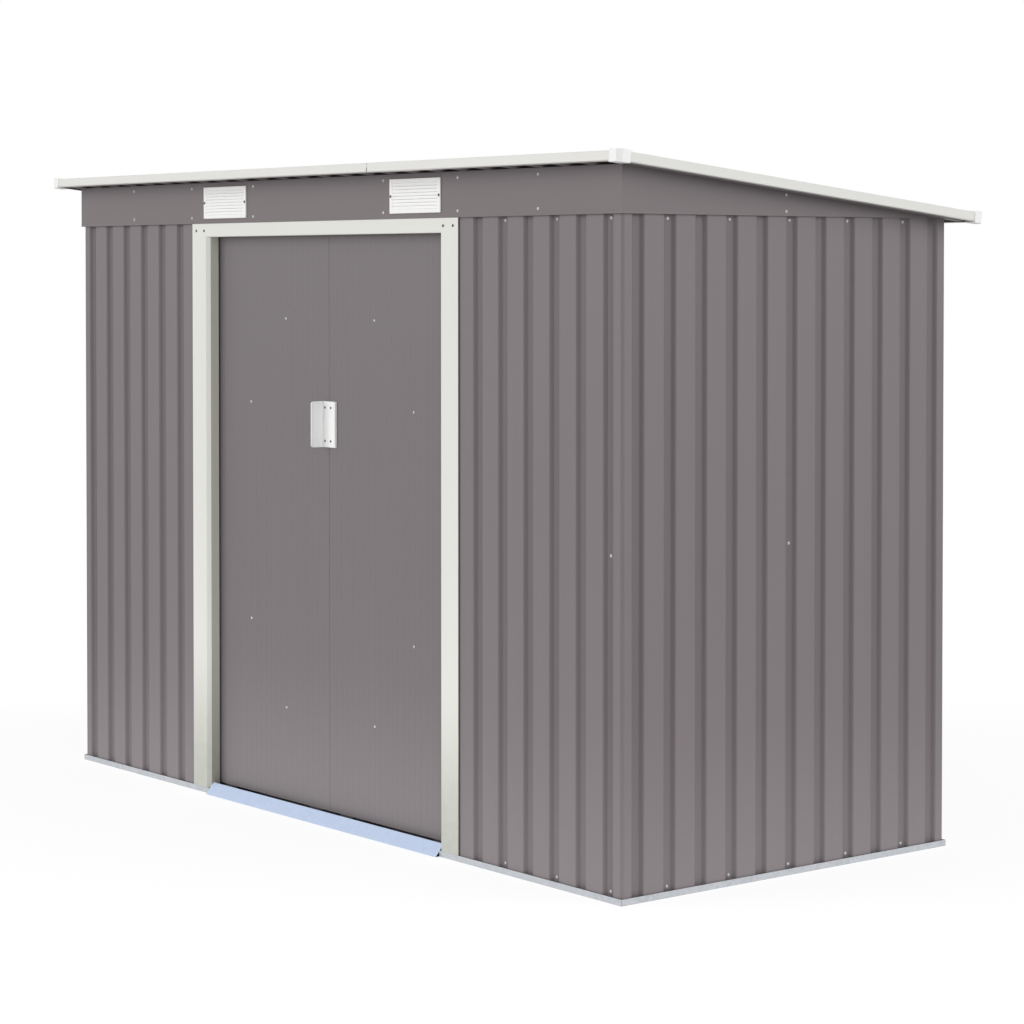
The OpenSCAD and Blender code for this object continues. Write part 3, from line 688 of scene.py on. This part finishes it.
def header_end(d):
    """The header laps over the bevelled edge of the jambs, then meets them on a mitre."""
    return OPENING_HALF + max(d, BEVEL_W) - MITRE_GAP


header = run(
    frame_pairs((HEADER_H, BEVEL_W, 0.0), []),
    lambda d, u: on_front(-header_end(d), u, HEADER_Z + d),
    lambda d, u: on_front(header_end(d), u, HEADER_Z + d),
)
shade_frame_returns(piece("header", header, "shed", ivory_paint, ["door_header"]))


# ------------------------------------------------------------------ fascia

BAND_BACK_U, BAND_U, HEM_U = -5.5, -6.05, -6.5
HEM_TOP = FASCIA_BOTTOM + 4.4
BAND_END = HALF_W + 6.3
BAND_CLEAR = 0.1
VENT_X, VENT_Z, VENT_W, VENT_H = 471.0, 1766.0, 228.0, 93.0
VENT_LAP = 12.0
GABLE_BACK_Y = 549.0


def fascia_front():
    """Front band with two openings behind the vents and a rolled hem along its lower edge."""
    hole_w, hole_h = VENT_W / 2 - VENT_LAP, VENT_H / 2 - VENT_LAP
    band_top = under_roof(-HALF_D + BAND_BACK_U) - BAND_CLEAR
    rows = [HEM_TOP, VENT_Z - hole_h, VENT_Z + hole_h, band_top]
    cols = [-BAND_END]
    for x in (-VENT_X, VENT_X):
        cols += [x - hole_w, x + hole_w]
    cols.append(BAND_END)
    holes = ((1, 1), (1, 3))
    parts = []
    for r in range(3):
        for c in range(5):
            if (r, c) not in holes:
                parts.append((cols[c], cols[c + 1], rows[r], rows[r + 1]))
    verts, faces, seen = [], [], {}

    def vertex(x, u, z):
        key = (x, u, z)
        if key not in seen:
            seen[key] = len(verts)
            verts.append(on_front(x, u, z))
        return seen[key]
    cells = {(p[0], p[2]) for p in parts}
    for x0, x1, z0, z1 in parts:
        corners = ((x0, z0), (x1, z0), (x1, z1), (x0, z1))
        front = [vertex(x, BAND_U, z) for x, z in corners]
        back = [vertex(x, BAND_BACK_U, z) for x, z in corners]
        faces.append(tuple(front))
        faces.append(tuple(reversed(back)))
        ci, ri = cols.index(x0), rows.index(z0)
        around = [
            (0, 1, (cols[ci], rows[ri - 1] if ri else None)),
            (2, 3, (cols[ci], rows[ri + 1])),
            (1, 2, (cols[ci + 1], rows[ri])),
            (3, 0, (cols[ci - 1] if ci else None, rows[ri])),
        ]
        for a, b, beside in around:
            if beside not in cells:
                faces.append((front[a], front[b], back[b], back[a]))
    hem_points = ((-5.6, 0.0), (HEM_U, 0.0), (HEM_U, 3.4), (BAND_U, 4.6))
    hem_line = rounded([(u, FASCIA_BOTTOM + z) for u, z in hem_points], 0.4, 3)
    hem = [(p, Vector((BAND_BACK_U, max(FASCIA_BOTTOM, p.y)))) for p in hem_line[1:]]
    hem_end = HALF_W - HEM_U
    return merge((verts, faces), run(hem, cut_at(on_front, -hem_end), cut_at(on_front, hem_end)))


piece("front_band", fascia_front(), "shed", band_paint, ["front_fascia"])


def gable_band():
    """Hemmed band on the side, made lower towards the back with the fall of the roof."""
    front_y = -HALF_D + BAND_BACK_U
    full_h = under_roof(front_y) - FASCIA_BOTTOM

    def station(y):
        share = (under_roof(y) - BAND_CLEAR - FASCIA_BOTTOM) / full_h
        return lambda u, z: Vector((HALF_W - u, y, FASCIA_BOTTOM + (z - FASCIA_BOTTOM) * share))
    face = [(-5.7, 0.0), (-6.25, 0.15), (HEM_U, 0.8), (HEM_U, 3.3)]
    face += [(BAND_U, 4.4), (BAND_U, 55.0), (BAND_U, full_h)]
    pairs = []
    for u, z in face:
        p = Vector((u, FASCIA_BOTTOM + z))
        pairs.append((p, Vector((BAND_BACK_U, max(p.y, FASCIA_BOTTOM)))))
    return run(pairs, station(front_y), station(0.0), station(GABLE_BACK_Y))


mirrored("gable_band", gable_band(), band_paint, "gable_fascia")


# ------------------------------------------------------------------ vents

VENT_DEEP, BLADES = 4.0, 8


def vent(mid_x):
    """Eased rim and eight sloping blades; here u is measured from the face of the rim."""
    def at(x, u, z):
        return Vector((mid_x + x, -HALF_D + HEM_U - VENT_DEEP + u, VENT_Z + z))
    w, h, rim = VENT_W / 2, VENT_H / 2, 11.0
    signs = ((-1, -1), (1, -1), (1, 1), (-1, 1))
    outer_rim = [(0, VENT_DEEP), (0, 1.0), (0.3, 0.4), (1.0, 0.0)]
    inner_rim = [(rim - 1.6, 0.0), (rim - 0.5, 0.5), (rim, 1.3), (rim, VENT_DEEP)]
    loops = []
    for inset, u in outer_rim + inner_rim:
        loops.append([at(sx * (w - inset), u, sz * (h - inset)) for sx, sz in signs])
    verts = [v for loop in loops for v in loop]
    faces = []
    n = len(loops)
    for j in range(n):
        k = (j + 1) % n
        for i in range(4):
            m = (i + 1) % 4
            faces.append((j * 4 + i, j * 4 + m, k * 4 + m, k * 4 + i))
    parts = [(verts, faces)]
    step = (VENT_H - 2 * rim) / BLADES
    blade = [(0.6, 0.25), (1.2, 0.0), (2.0, 0.1)]
    blade += [(VENT_DEEP, step - 2.0), (VENT_DEEP, step - 0.5), (2.7, step - 0.5)]
    blade_end = w - rim + 1
    for i in range(BLADES):
        z0 = -h + rim + i * step
        parts.append(prism(
            blade, lambda u, z: at(-blade_end, u, z0 + z), lambda u, z: at(blade_end, u, z0 + z)))
    return merge(*parts)


piece("vent_grille_right", vent(VENT_X), "shed", vent_plastic, ["vent_right"], sharp=50)
piece("vent_grille_left", vent(-VENT_X), "shed", vent_plastic, ["vent_left"], sharp=50)


# ------------------------------------------------------------------ roof

ROOF_FOLD = 5.0
EDGE_IN = 1.8
EDGE_SPLIT = 12.0
CORNER_CUT = EDGE_SPLIT + EDGE_IN
SEAM_X = 4.5 * PITCH


def roof_piece(line, cut):
    """Grooved sheet from front to back; cut takes off the corners that the plastic caps hold."""
    face = [Vector((p.x, -PAN_BELOW - p.y)) for p in rounded(line, ROOF_FOLD, 5)]
    pairs = thick(face, -SHEET_T)

    def reach(x):
        far = ROOF_HALF_LEN - EDGE_IN
        return min(far, ROOF_HALF_LEN + ROOF_HALF_W - CORNER_CUT - abs(x)) if cut else far
    return run(pairs, lambda x, z: on_roof(x, -reach(x), z), lambda x, z: on_roof(x, reach(x), z))


def seam_line(a, b):
    """Face line of a sheet that starts and ends in the middle of a groove."""
    count = round((b - a) / PITCH) - 1
    start = [(a + GAP, GROOVE_DEEP)] + groove_out(a)
    end = groove_in(b) + [(b - GAP, GROOVE_DEEP)]
    return start + grooves(a + PITCH, count) + end


def seam_strip(x):
    """Closes the joint between two roof sheets from below."""
    far = ROOF_HALF_LEN - EDGE_IN
    return block(on_roof, x - 6, x + 6, -far, far, -VALLEY_BELOW - 0.25, -VALLEY_BELOW + 0.05)


middle = merge(roof_piece(seam_line(-SEAM_X, SEAM_X), False), seam_strip(-SEAM_X), seam_strip(SEAM_X))
piece("roof_middle", middle, "shed", band_paint, ["roof_sheet_middle"])
outer_line = [(SEAM_X + GAP, GROOVE_DEEP)] + groove_out(SEAM_X) + grooves(SEAM_X + PITCH, 8)
outer_line += [(ROOF_HALF_W - EDGE_SPLIT, 0.0), (ROOF_HALF_W - EDGE_IN, 0.0)]
mirrored("roof", roof_piece(outer_line, True), band_paint, "roof_sheet")

TRIM_LIP, TRIM_FOLD = 16.0, 2.2
trim_line = [(TRIM_LIP, 0.0), (0.0, 0.0), (0.0, -EDGE_H), (TRIM_LIP, -EDGE_H)]
trim_pairs = thick(rounded(trim_line, TRIM_FOLD, 4), SECTION_T)


def edge_front(s, u, z):
    return on_roof(s, -ROOF_HALF_LEN + u, z)


def edge_back(s, u, z):
    return on_roof(-s, ROOF_HALF_LEN - u, z)


def edge_right(s, u, z):
    return on_roof(ROOF_HALF_W - u, s, z)


def edge_left(s, u, z):
    return on_roof(-ROOF_HALF_W + u, -s, z)


def trim(name, edge, s0, s1):
    part = run(trim_pairs, cut_at(edge, s0), cut_at(edge, s1))
    piece(name + "_folded", part, "shed", trim_paint, [name])


# The trims end inside the corner caps; the front one is in two parts with a joint right of the middle
CAP_HIDES = 32.0
END_X, END_Y = ROOF_HALF_W - CAP_HIDES, ROOF_HALF_LEN - CAP_HIDES
JOINT_X, JOINT_HALF = 337.5, 1.9
trim("roof_trim_front_right", edge_front, JOINT_X + JOINT_HALF, END_X)
trim("roof_trim_front_left", edge_front, -END_X, JOINT_X - JOINT_HALF)
trim("roof_trim_back", edge_back, -END_X, END_X)
trim("roof_trim_right", edge_right, -END_Y, END_Y)
trim("roof_trim_left", edge_left, -END_Y, END_Y)


# ------------------------------------------------------------------ doors

MEETING_X = 0.4
RIB_PITCH, RIB_EDGE = 26.6, 24.0
RIB = ((0.0, 0.0), (0.5, 0.06), (1.4, 0.5), (2.2, 0.6), (3.0, 0.5), (3.9, 0.06), (4.4, 0.0))
CHANNEL_H = 36.0


def door_leaf():
    """Leaf right of the middle: finely ribbed face with folded edges, and its top channel."""
    count = int((DOOR_X1 - DOOR_X0 - RIB_EDGE) / RIB_PITCH)
    first = (DOOR_X0 + DOOR_X1 - (count - 1) * RIB_PITCH) / 2 - RIB[-1][0] / 2
    face = [(MEETING_X, DOOR_BACK_U), (MEETING_X, DOOR_U + 0.5)]
    face += [(MEETING_X + 0.15, DOOR_U + 0.15), (MEETING_X + 0.5, DOOR_U)]
    for i in range(count):
        x = first + i * RIB_PITCH
        face += [(x + along, DOOR_U - proud) for along, proud in RIB]
    face += [(DOOR_X1 - 1.4, DOOR_U), (DOOR_X1 - 0.4, DOOR_U + 0.4)]
    face += [(DOOR_X1, DOOR_U + 1.4), (DOOR_X1, DOOR_BACK_U)]
    leaf = run(
        thick([Vector(p) for p in face], SHEET_T),
        lambda x, u: on_front(x, u, DOOR_Z0 + 0.2),
        lambda x, u: on_front(x, u, DOOR_Z1 - 0.2),
    )
    x0, x1 = DOOR_X0 + 0.6, DOOR_X1 - 0.6
    folds = [
        (DOOR_U + 0.1, DOOR_Z0, DOOR_Z0 + SHEET_T),
        (DOOR_U + 0.1, DOOR_Z1 - SHEET_T, DOOR_Z1),
        (DOOR_BACK_U - SHEET_T, DOOR_Z1 - CHANNEL_H, DOOR_Z1 - SHEET_T),
    ]
    return merge(leaf, *(block(on_front, x0, x1, u, DOOR_BACK_U, z0, z1) for u, z0, z1 in folds))


leaf = door_leaf()
piece("door_leaf_right", leaf, "right_door", door_paint, ["right_door_panel"])
piece("door_leaf_left", flipped(leaf), "left_door", door_paint, ["left_door_panel"])

HANDLE_Z0, HANDLE_Z1 = 1065.0, 1195.0
PLATE_U = 33.0
GRIP_BACK_X, GRIP_TIP_U, GRIP_ROUND = -26.8, -7.0, 7.0
HANDLE_EASE = 0.9


def upright(pairs, shorter=lambda u: 0.0):
    """Sweep a section up the handle; shorter says how much of each end is rounded away at u."""
    return run(
        pairs,
        lambda x, u: on_front(x, u, HANDLE_Z0 + shorter(u)),
        lambda x, u: on_front(x, u, HANDLE_Z1 - shorter(u)),
    )


def onto_door(points):
    """Each point of a plate's face with the point of the door behind it."""
    return [(Vector((x, u)), Vector((x, DOOR_U))) for x, u in points]


def right_handle():
    """Plate on the right door with a raised lip along its far side."""
    plate = [(0.3, 34.0), (0.8, 33.2), (1.6, PLATE_U), (30.6, PLATE_U), (32.0, 32.6), (33.2, 31.2)]
    lip = [(34.2, 30.3), (35.4, 30.0), (36.8, 30.1), (37.6, 30.7), (38.0, 32.0)]
    return upright(onto_door(plate + lip))


def left_handle():
    """Plate on the left door and the ribbed grip that stands out from it."""
    plate = [(-0.3, 34.0), (-0.8, 33.2), (-1.6, PLATE_U), (-18.0, PLATE_U), (-20.0, 32.4)]
    plate += [(-21.2, 31.2), (GRIP_BACK_X, 31.0)]
    tip = [(-28.4, 0.5), (-27.8, 0.0), (-25.6, 0.0), (-24.4, 0.5), (-23.8, 1.6), (-24.0, 3.0)]
    tip += [(-25.4, 4.2), (-26.0, 5.4), (-25.6, 7.0)]
    wing = [(x, GRIP_TIP_U + u) for x, u in tip]
    wing += [(-20.4, 13.0), (-20.4, 14.2), (-21.4, 15.0), (-24.6, 15.8), (-25.2, 17.4)]
    wing += [(-24.6, 18.6), (-20.6, 26.6), (-20.4, 28.0), (-20.6, 31.2)]
    wing_pairs = [(Vector((x, u)), Vector((min(GRIP_BACK_X, x - 0.4), u))) for x, u in wing]

    def round_off(u):
        short = max(0.0, GRIP_ROUND - (u - GRIP_TIP_U))
        return GRIP_ROUND - math.sqrt(GRIP_ROUND ** 2 - short ** 2)
    return merge(upright(onto_door(plate)), upright(wing_pairs, round_off))


piece(
    "handle_plate_right", right_handle(), "right_door", brightened_grip_plastic,
    ["right_handle"], bevel=HANDLE_EASE)
piece(
    "handle_grip_left", left_handle(), "left_door", brightened_grip_plastic,
    ["left_handle"], bevel=HANDLE_EASE)


# ------------------------------------------------------------------ screws

def screw_shape():
    """Pan head with a cross recess on a thin washer, standing on the plane z = 0."""
    rings = [(5.0, 0.0), (5.0, 0.45), (4.6, 0.6), (3.9, 0.6)]
    rings += [(3.85, 1.2), (3.4, 1.9), (2.6, 2.3), (1.7, 2.45)]
    sides = 20

    def around(r, i, h):
        turn = math.tau * i / sides
        return Vector((r * math.cos(turn), r * math.sin(turn), h))
    verts = [around(r, i, h) for r, h in rings for i in range(sides)]
    faces = [tuple(reversed(range(sides)))]
    for j in range(len(rings) - 1):
        for i in range(sides):
            k = (i + 1) % sides
            faces.append((j * sides + i, j * sides + k, (j + 1) * sides + k, (j + 1) * sides + i))
    last = (len(rings) - 1) * sides
    deep = len(verts)
    for i in range(sides):
        in_slot = (i % 5) == 0
        verts.append(around(1.3, i, 1.5) if in_slot else around(0.5, i, 2.2))
    for i in range(sides):
        k = (i + 1) % sides
        faces.append((last + i, last + k, deep + k, deep + i))
    centre = len(verts)
    verts.append(Vector((0, 0, 1.3)))
    for i in range(sides):
        faces.append((deep + i, deep + (i + 1) % sides, centre))
    return verts, faces


SCREW = screw_shape()
BODY_SCREW, HANDLE_SCREW = 0.82, 0.7
QUARTER_TURN = 1.57


def screws(spots, size=BODY_SCREW):
    """One joined shape; each spot is (place in mm, outward direction)."""
    parts = []
    for where, out in spots:
        facing = Vector(out).normalized().to_track_quat("Z", "Y").to_matrix()
        turn = facing @ Matrix.Rotation(random.uniform(0, QUARTER_TURN), 3, "Z")
        parts.append(([turn @ (v * size) + Vector(where) for v in SCREW[0]], SCREW[1]))
    return merge(*parts)


FRONT_OUT, BACK_OUT = (0, -1, 0), (0, 1, 0)
SEAT_U = GROOVE_DEEP - 0.1
TOP_Z, MID_Z, LOW_Z, BACK_TOP_Z = 1695.0, 860.0, 26.0, 1688.0
LAST_X = HALF_W - PITCH / 2
EDGE_ROW = 34.0


def half_screws(sign):
    """Screws of one side, its half of the back and its bands; the right half has the middle ones too."""
    side_out = (sign, 0, 0)
    side_x = sign * (HALF_W - SEAT_U)
    back_y = HALF_D - SEAT_U
    spots = []
    for i in (-2, -1, 0, 1, 2):
        y = 2 * PITCH * i
        top = min(TOP_Z, under_roof(y) - 16)
        spots += [((side_x, y, z), side_out) for z in (top, LOW_Z)]
    spots.append(((side_x, 0.0, MID_Z), side_out))
    first = 0 if sign > 0 else 1
    for i in range(first, 7):
        spots += [((sign * 2 * PITCH * i, back_y, z), BACK_OUT) for z in (BACK_TOP_Z, LOW_Z)]
    for x in (0.0, LAST_X)[first:]:
        spots.append(((sign * x, back_y, MID_Z), BACK_OUT))
    for x in (320.0, 656.0, 990.0):
        spots += [((sign * (HALF_W - x), -HALF_D - 6.0, z), FRONT_OUT) for z in (1722.5, 1810.0)]
    spots += [((sign * (HALF_W + 6.0), -26.5, z), side_out) for z in (1717.0, 1760.0)]
    return spots


def dull_screws(sign):
    """Screws of one end of the header and of one vent."""
    vent_reach = VENT_W / 2 - 5.4
    spots = [((sign * x, -HALF_D + FRAME_U, 1684.0), FRONT_OUT) for x in (634.5, 591.5)]
    for x in (VENT_X - vent_reach, VENT_X + vent_reach):
        spots.append(((sign * x, -HALF_D - 10.4, VENT_Z), FRONT_OUT))
    return spots


bright_spots = []
for k in (0, 2, 4):
    x = HALF_W - (k + 0.5) * PITCH
    bright_spots += [((x, -HALF_D + SEAT_U, z), FRONT_OUT) for z in (TOP_Z, LOW_Z)]
bright_spots.append(((LAST_X, -HALF_D + SEAT_U, MID_Z), FRONT_OUT))
bright_spots += half_screws(-1) + half_screws(1)
roof_out = on_roof(0, 0, 1) - on_roof(0, 0, 0)
for k in (0.5, 2.5, 4.5, 6.5, 8.5, 10.5, 12.5):
    for y in (-ROOF_HALF_LEN + EDGE_ROW, -15.0, ROOF_HALF_LEN - EDGE_ROW):
        for sign in (-1, 1):
            bright_spots.append((on_roof(sign * k * PITCH, y, -VALLEY_BELOW + 1.0 - 0.1), roof_out))
piece("shed_screws_bright", screws(bright_spots), "shed", screw_bright)
piece("shed_screws_dull", screws(dull_screws(-1) + dull_screws(1)), "shed", screw_dark)
door_spots = [(219.0, 1427.0), (403.0, 1180.0), (403.0, 541.0), (219.0, 299.0)]
for sign, body in ((1, "right_door"), (-1, "left_door")):
    spots = [((sign * x, -HALF_D + DOOR_U + 0.35, z), FRONT_OUT) for x, z in door_spots]
    piece(body + "_screws", screws(spots), body, screw_bright)
    hold = [((sign * 14.0, -HALF_D + PLATE_U, z), FRONT_OUT) for z in (1082.7, 1177.3)]
    piece(body + "_handle_screws", screws(hold, HANDLE_SCREW), body, screw_dark)


# ------------------------------------------------------------------ carried-over nodes

def dress(name, material, width=0.0003, segments=2):
    """Give a node of the frame its material and eased edges."""
    node = bpy.data.objects[name]
    node.data.materials.clear()
    node.data.materials.append(material)
    ease = node.modifiers.new("eased edges", "BEVEL")
    ease.width = width
    ease.segments = segments
    ease.limit_method = "ANGLE"
    ease.angle_limit = math.radians(35)


for name in ("top_rail_front", "top_rail_left", "top_rail_right", "top_rail_back"):
    dress(name, inner_zinc)
for name in ("door_track_top", "door_track_bottom", "fascia_brackets", "roof_beam"):
    dress(name, inner_zinc)
for name in ("left_door_runners", "right_door_runners"):
    dress(name, dark_plastic)
dress("roof_corner_caps", white_plastic, width=0.0012, segments=3)


# ------------------------------------------------------------------ floor, light, camera

FLOOR_HALF, FLOOR_DROP = 60, 0.0005
UNDER_SHED_IN = 0.006
ground = bpy.data.meshes.new("studio floor")
floor_corners = [(sx * FLOOR_HALF, sy * FLOOR_HALF, 0) for sx, sy in ((-1, -1), (1, -1), (1, 1), (-1, 1))]
ground.from_pydata(floor_corners, [], [(0, 1, 2, 3)])
floor = bpy.data.objects.new("studio_floor", ground)
bpy.context.scene.collection.objects.link(floor)
floor.location.z = -FLOOR_DROP
mat, tree, shader = new_material("pale studio floor")
tree.nodes.remove(shader)
path = add(tree, "ShaderNodeLightPath").outputs["Is Camera Ray"]
spot = add(tree, "ShaderNodeTexCoord").outputs["Object"]
parts = add(tree, "ShaderNodeSeparateXYZ")
tree.links.new(spot, parts.inputs[0])
off_x = maths(tree, "GREATER_THAN", maths(tree, "ABSOLUTE", parts.outputs["X"]), HALF_W * MM - UNDER_SHED_IN)
off_y = maths(tree, "GREATER_THAN", maths(tree, "ABSOLUTE", parts.outputs["Y"]), HALF_D * MM - UNDER_SHED_IN)
outside = maths(tree, "MAXIMUM", off_x, off_y)
# The camera sees a nearly white floor that still takes the shed's shadow
shade = add(tree, "ShaderNodeBsdfDiffuse")
tree.links.new(remap(tree, outside, 0.0, 1.0, 0.8, 0.24), shade.inputs["Color"])
glow = add(tree, "ShaderNodeEmission")
tree.links.new(maths(tree, "MULTIPLY", outside, 0.85), glow.inputs["Strength"])
# Other rays find a floor that glows less with the distance from the shed
bounce = add(tree, "ShaderNodeEmission")
away = add(tree, "ShaderNodeVectorMath", operation="LENGTH")
tree.links.new(spot, away.inputs[0])
reach = maths(tree, "MULTIPLY", remap(tree, away.outputs["Value"], 1.3, 3.6, 0.92, 0.5), outside)
tree.links.new(reach, bounce.inputs["Strength"])
lit = add(tree, "ShaderNodeAddShader")
tree.links.new(shade.outputs[0], lit.inputs[0])
tree.links.new(glow.outputs[0], lit.inputs[1])
shown = add(tree, "ShaderNodeMixShader")
tree.links.new(maths(tree, "MAXIMUM", path, maths(tree, "SUBTRACT", 1.0, outside)), shown.inputs[0])
tree.links.new(bounce.outputs[0], shown.inputs[1])
tree.links.new(lit.outputs[0], shown.inputs[2])
tree.links.new(shown.outputs[0], tree.nodes["Material Output"].inputs["Surface"])
ground.materials.append(mat)

world = bpy.data.worlds.new("soft white studio")
bpy.context.scene.world = world
world.use_nodes = True
tree = world.node_tree
tree.nodes.clear()
rays = add(tree, "ShaderNodeLightPath")
seen = maths(tree, "MAXIMUM", rays.outputs["Is Camera Ray"], rays.outputs["Is Glossy Ray"])
seen = maths(tree, "MAXIMUM", seen, rays.outputs["Is Transmission Ray"])
soft = add(tree, "ShaderNodeBackground")
soft.inputs["Color"].default_value = (1.0, 1.0, 1.0, 1)
soft.inputs["Strength"].default_value = 0.42
white = add(tree, "ShaderNodeBackground")
white.inputs["Color"].default_value = (1.0, 1.0, 1.0, 1)
white.inputs["Strength"].default_value = 1.0
mix = add(tree, "ShaderNodeMixShader")
tree.links.new(seen, mix.inputs[0])
tree.links.new(soft.outputs[0], mix.inputs[1])
tree.links.new(white.outputs[0], mix.inputs[2])
tree.links.new(mix.outputs[0], add(tree, "ShaderNodeOutputWorld").inputs["Surface"])


def broad_light(name, azimuth, elevation, strength, spread=50):
    """Broad sun; azimuth 0 shines on the front, 90 on the right side."""
    data = bpy.data.lights.new(name, "SUN")
    data.energy = strength
    data.angle = math.radians(spread)
    lamp = bpy.data.objects.new(name, data)
    bpy.context.scene.collection.objects.link(lamp)
    a, e = math.radians(azimuth), math.radians(elevation)
    source = Vector((math.sin(a) * math.cos(e), -math.cos(a) * math.cos(e), math.sin(e)))
    lamp.rotation_euler = source.to_track_quat("Z", "Y").to_euler()


broad_light("left front softbox", -27, 17, 1.36, spread=44)
broad_light("right rear softbox", 124, 17, 1.22)
broad_light("front right fill", 58, 8, 0.55)

eye = bpy.data.cameras.new("studio camera")
eye.sensor_width = 36.0
eye.lens = 97.423
eye.shift_y = -0.16915
camera = bpy.data.objects.new("studio_camera", eye)
bpy.context.scene.collection.objects.link(camera)
camera.location = (6.4574, -5.0129, 1.5639)
camera.rotation_euler = (math.radians(90 - 1.4), 0, math.radians(51.512))
eye.clip_end = 200
bpy.context.scene.camera = camera
bpy.context.scene.view_settings.view_transform = "Standard"
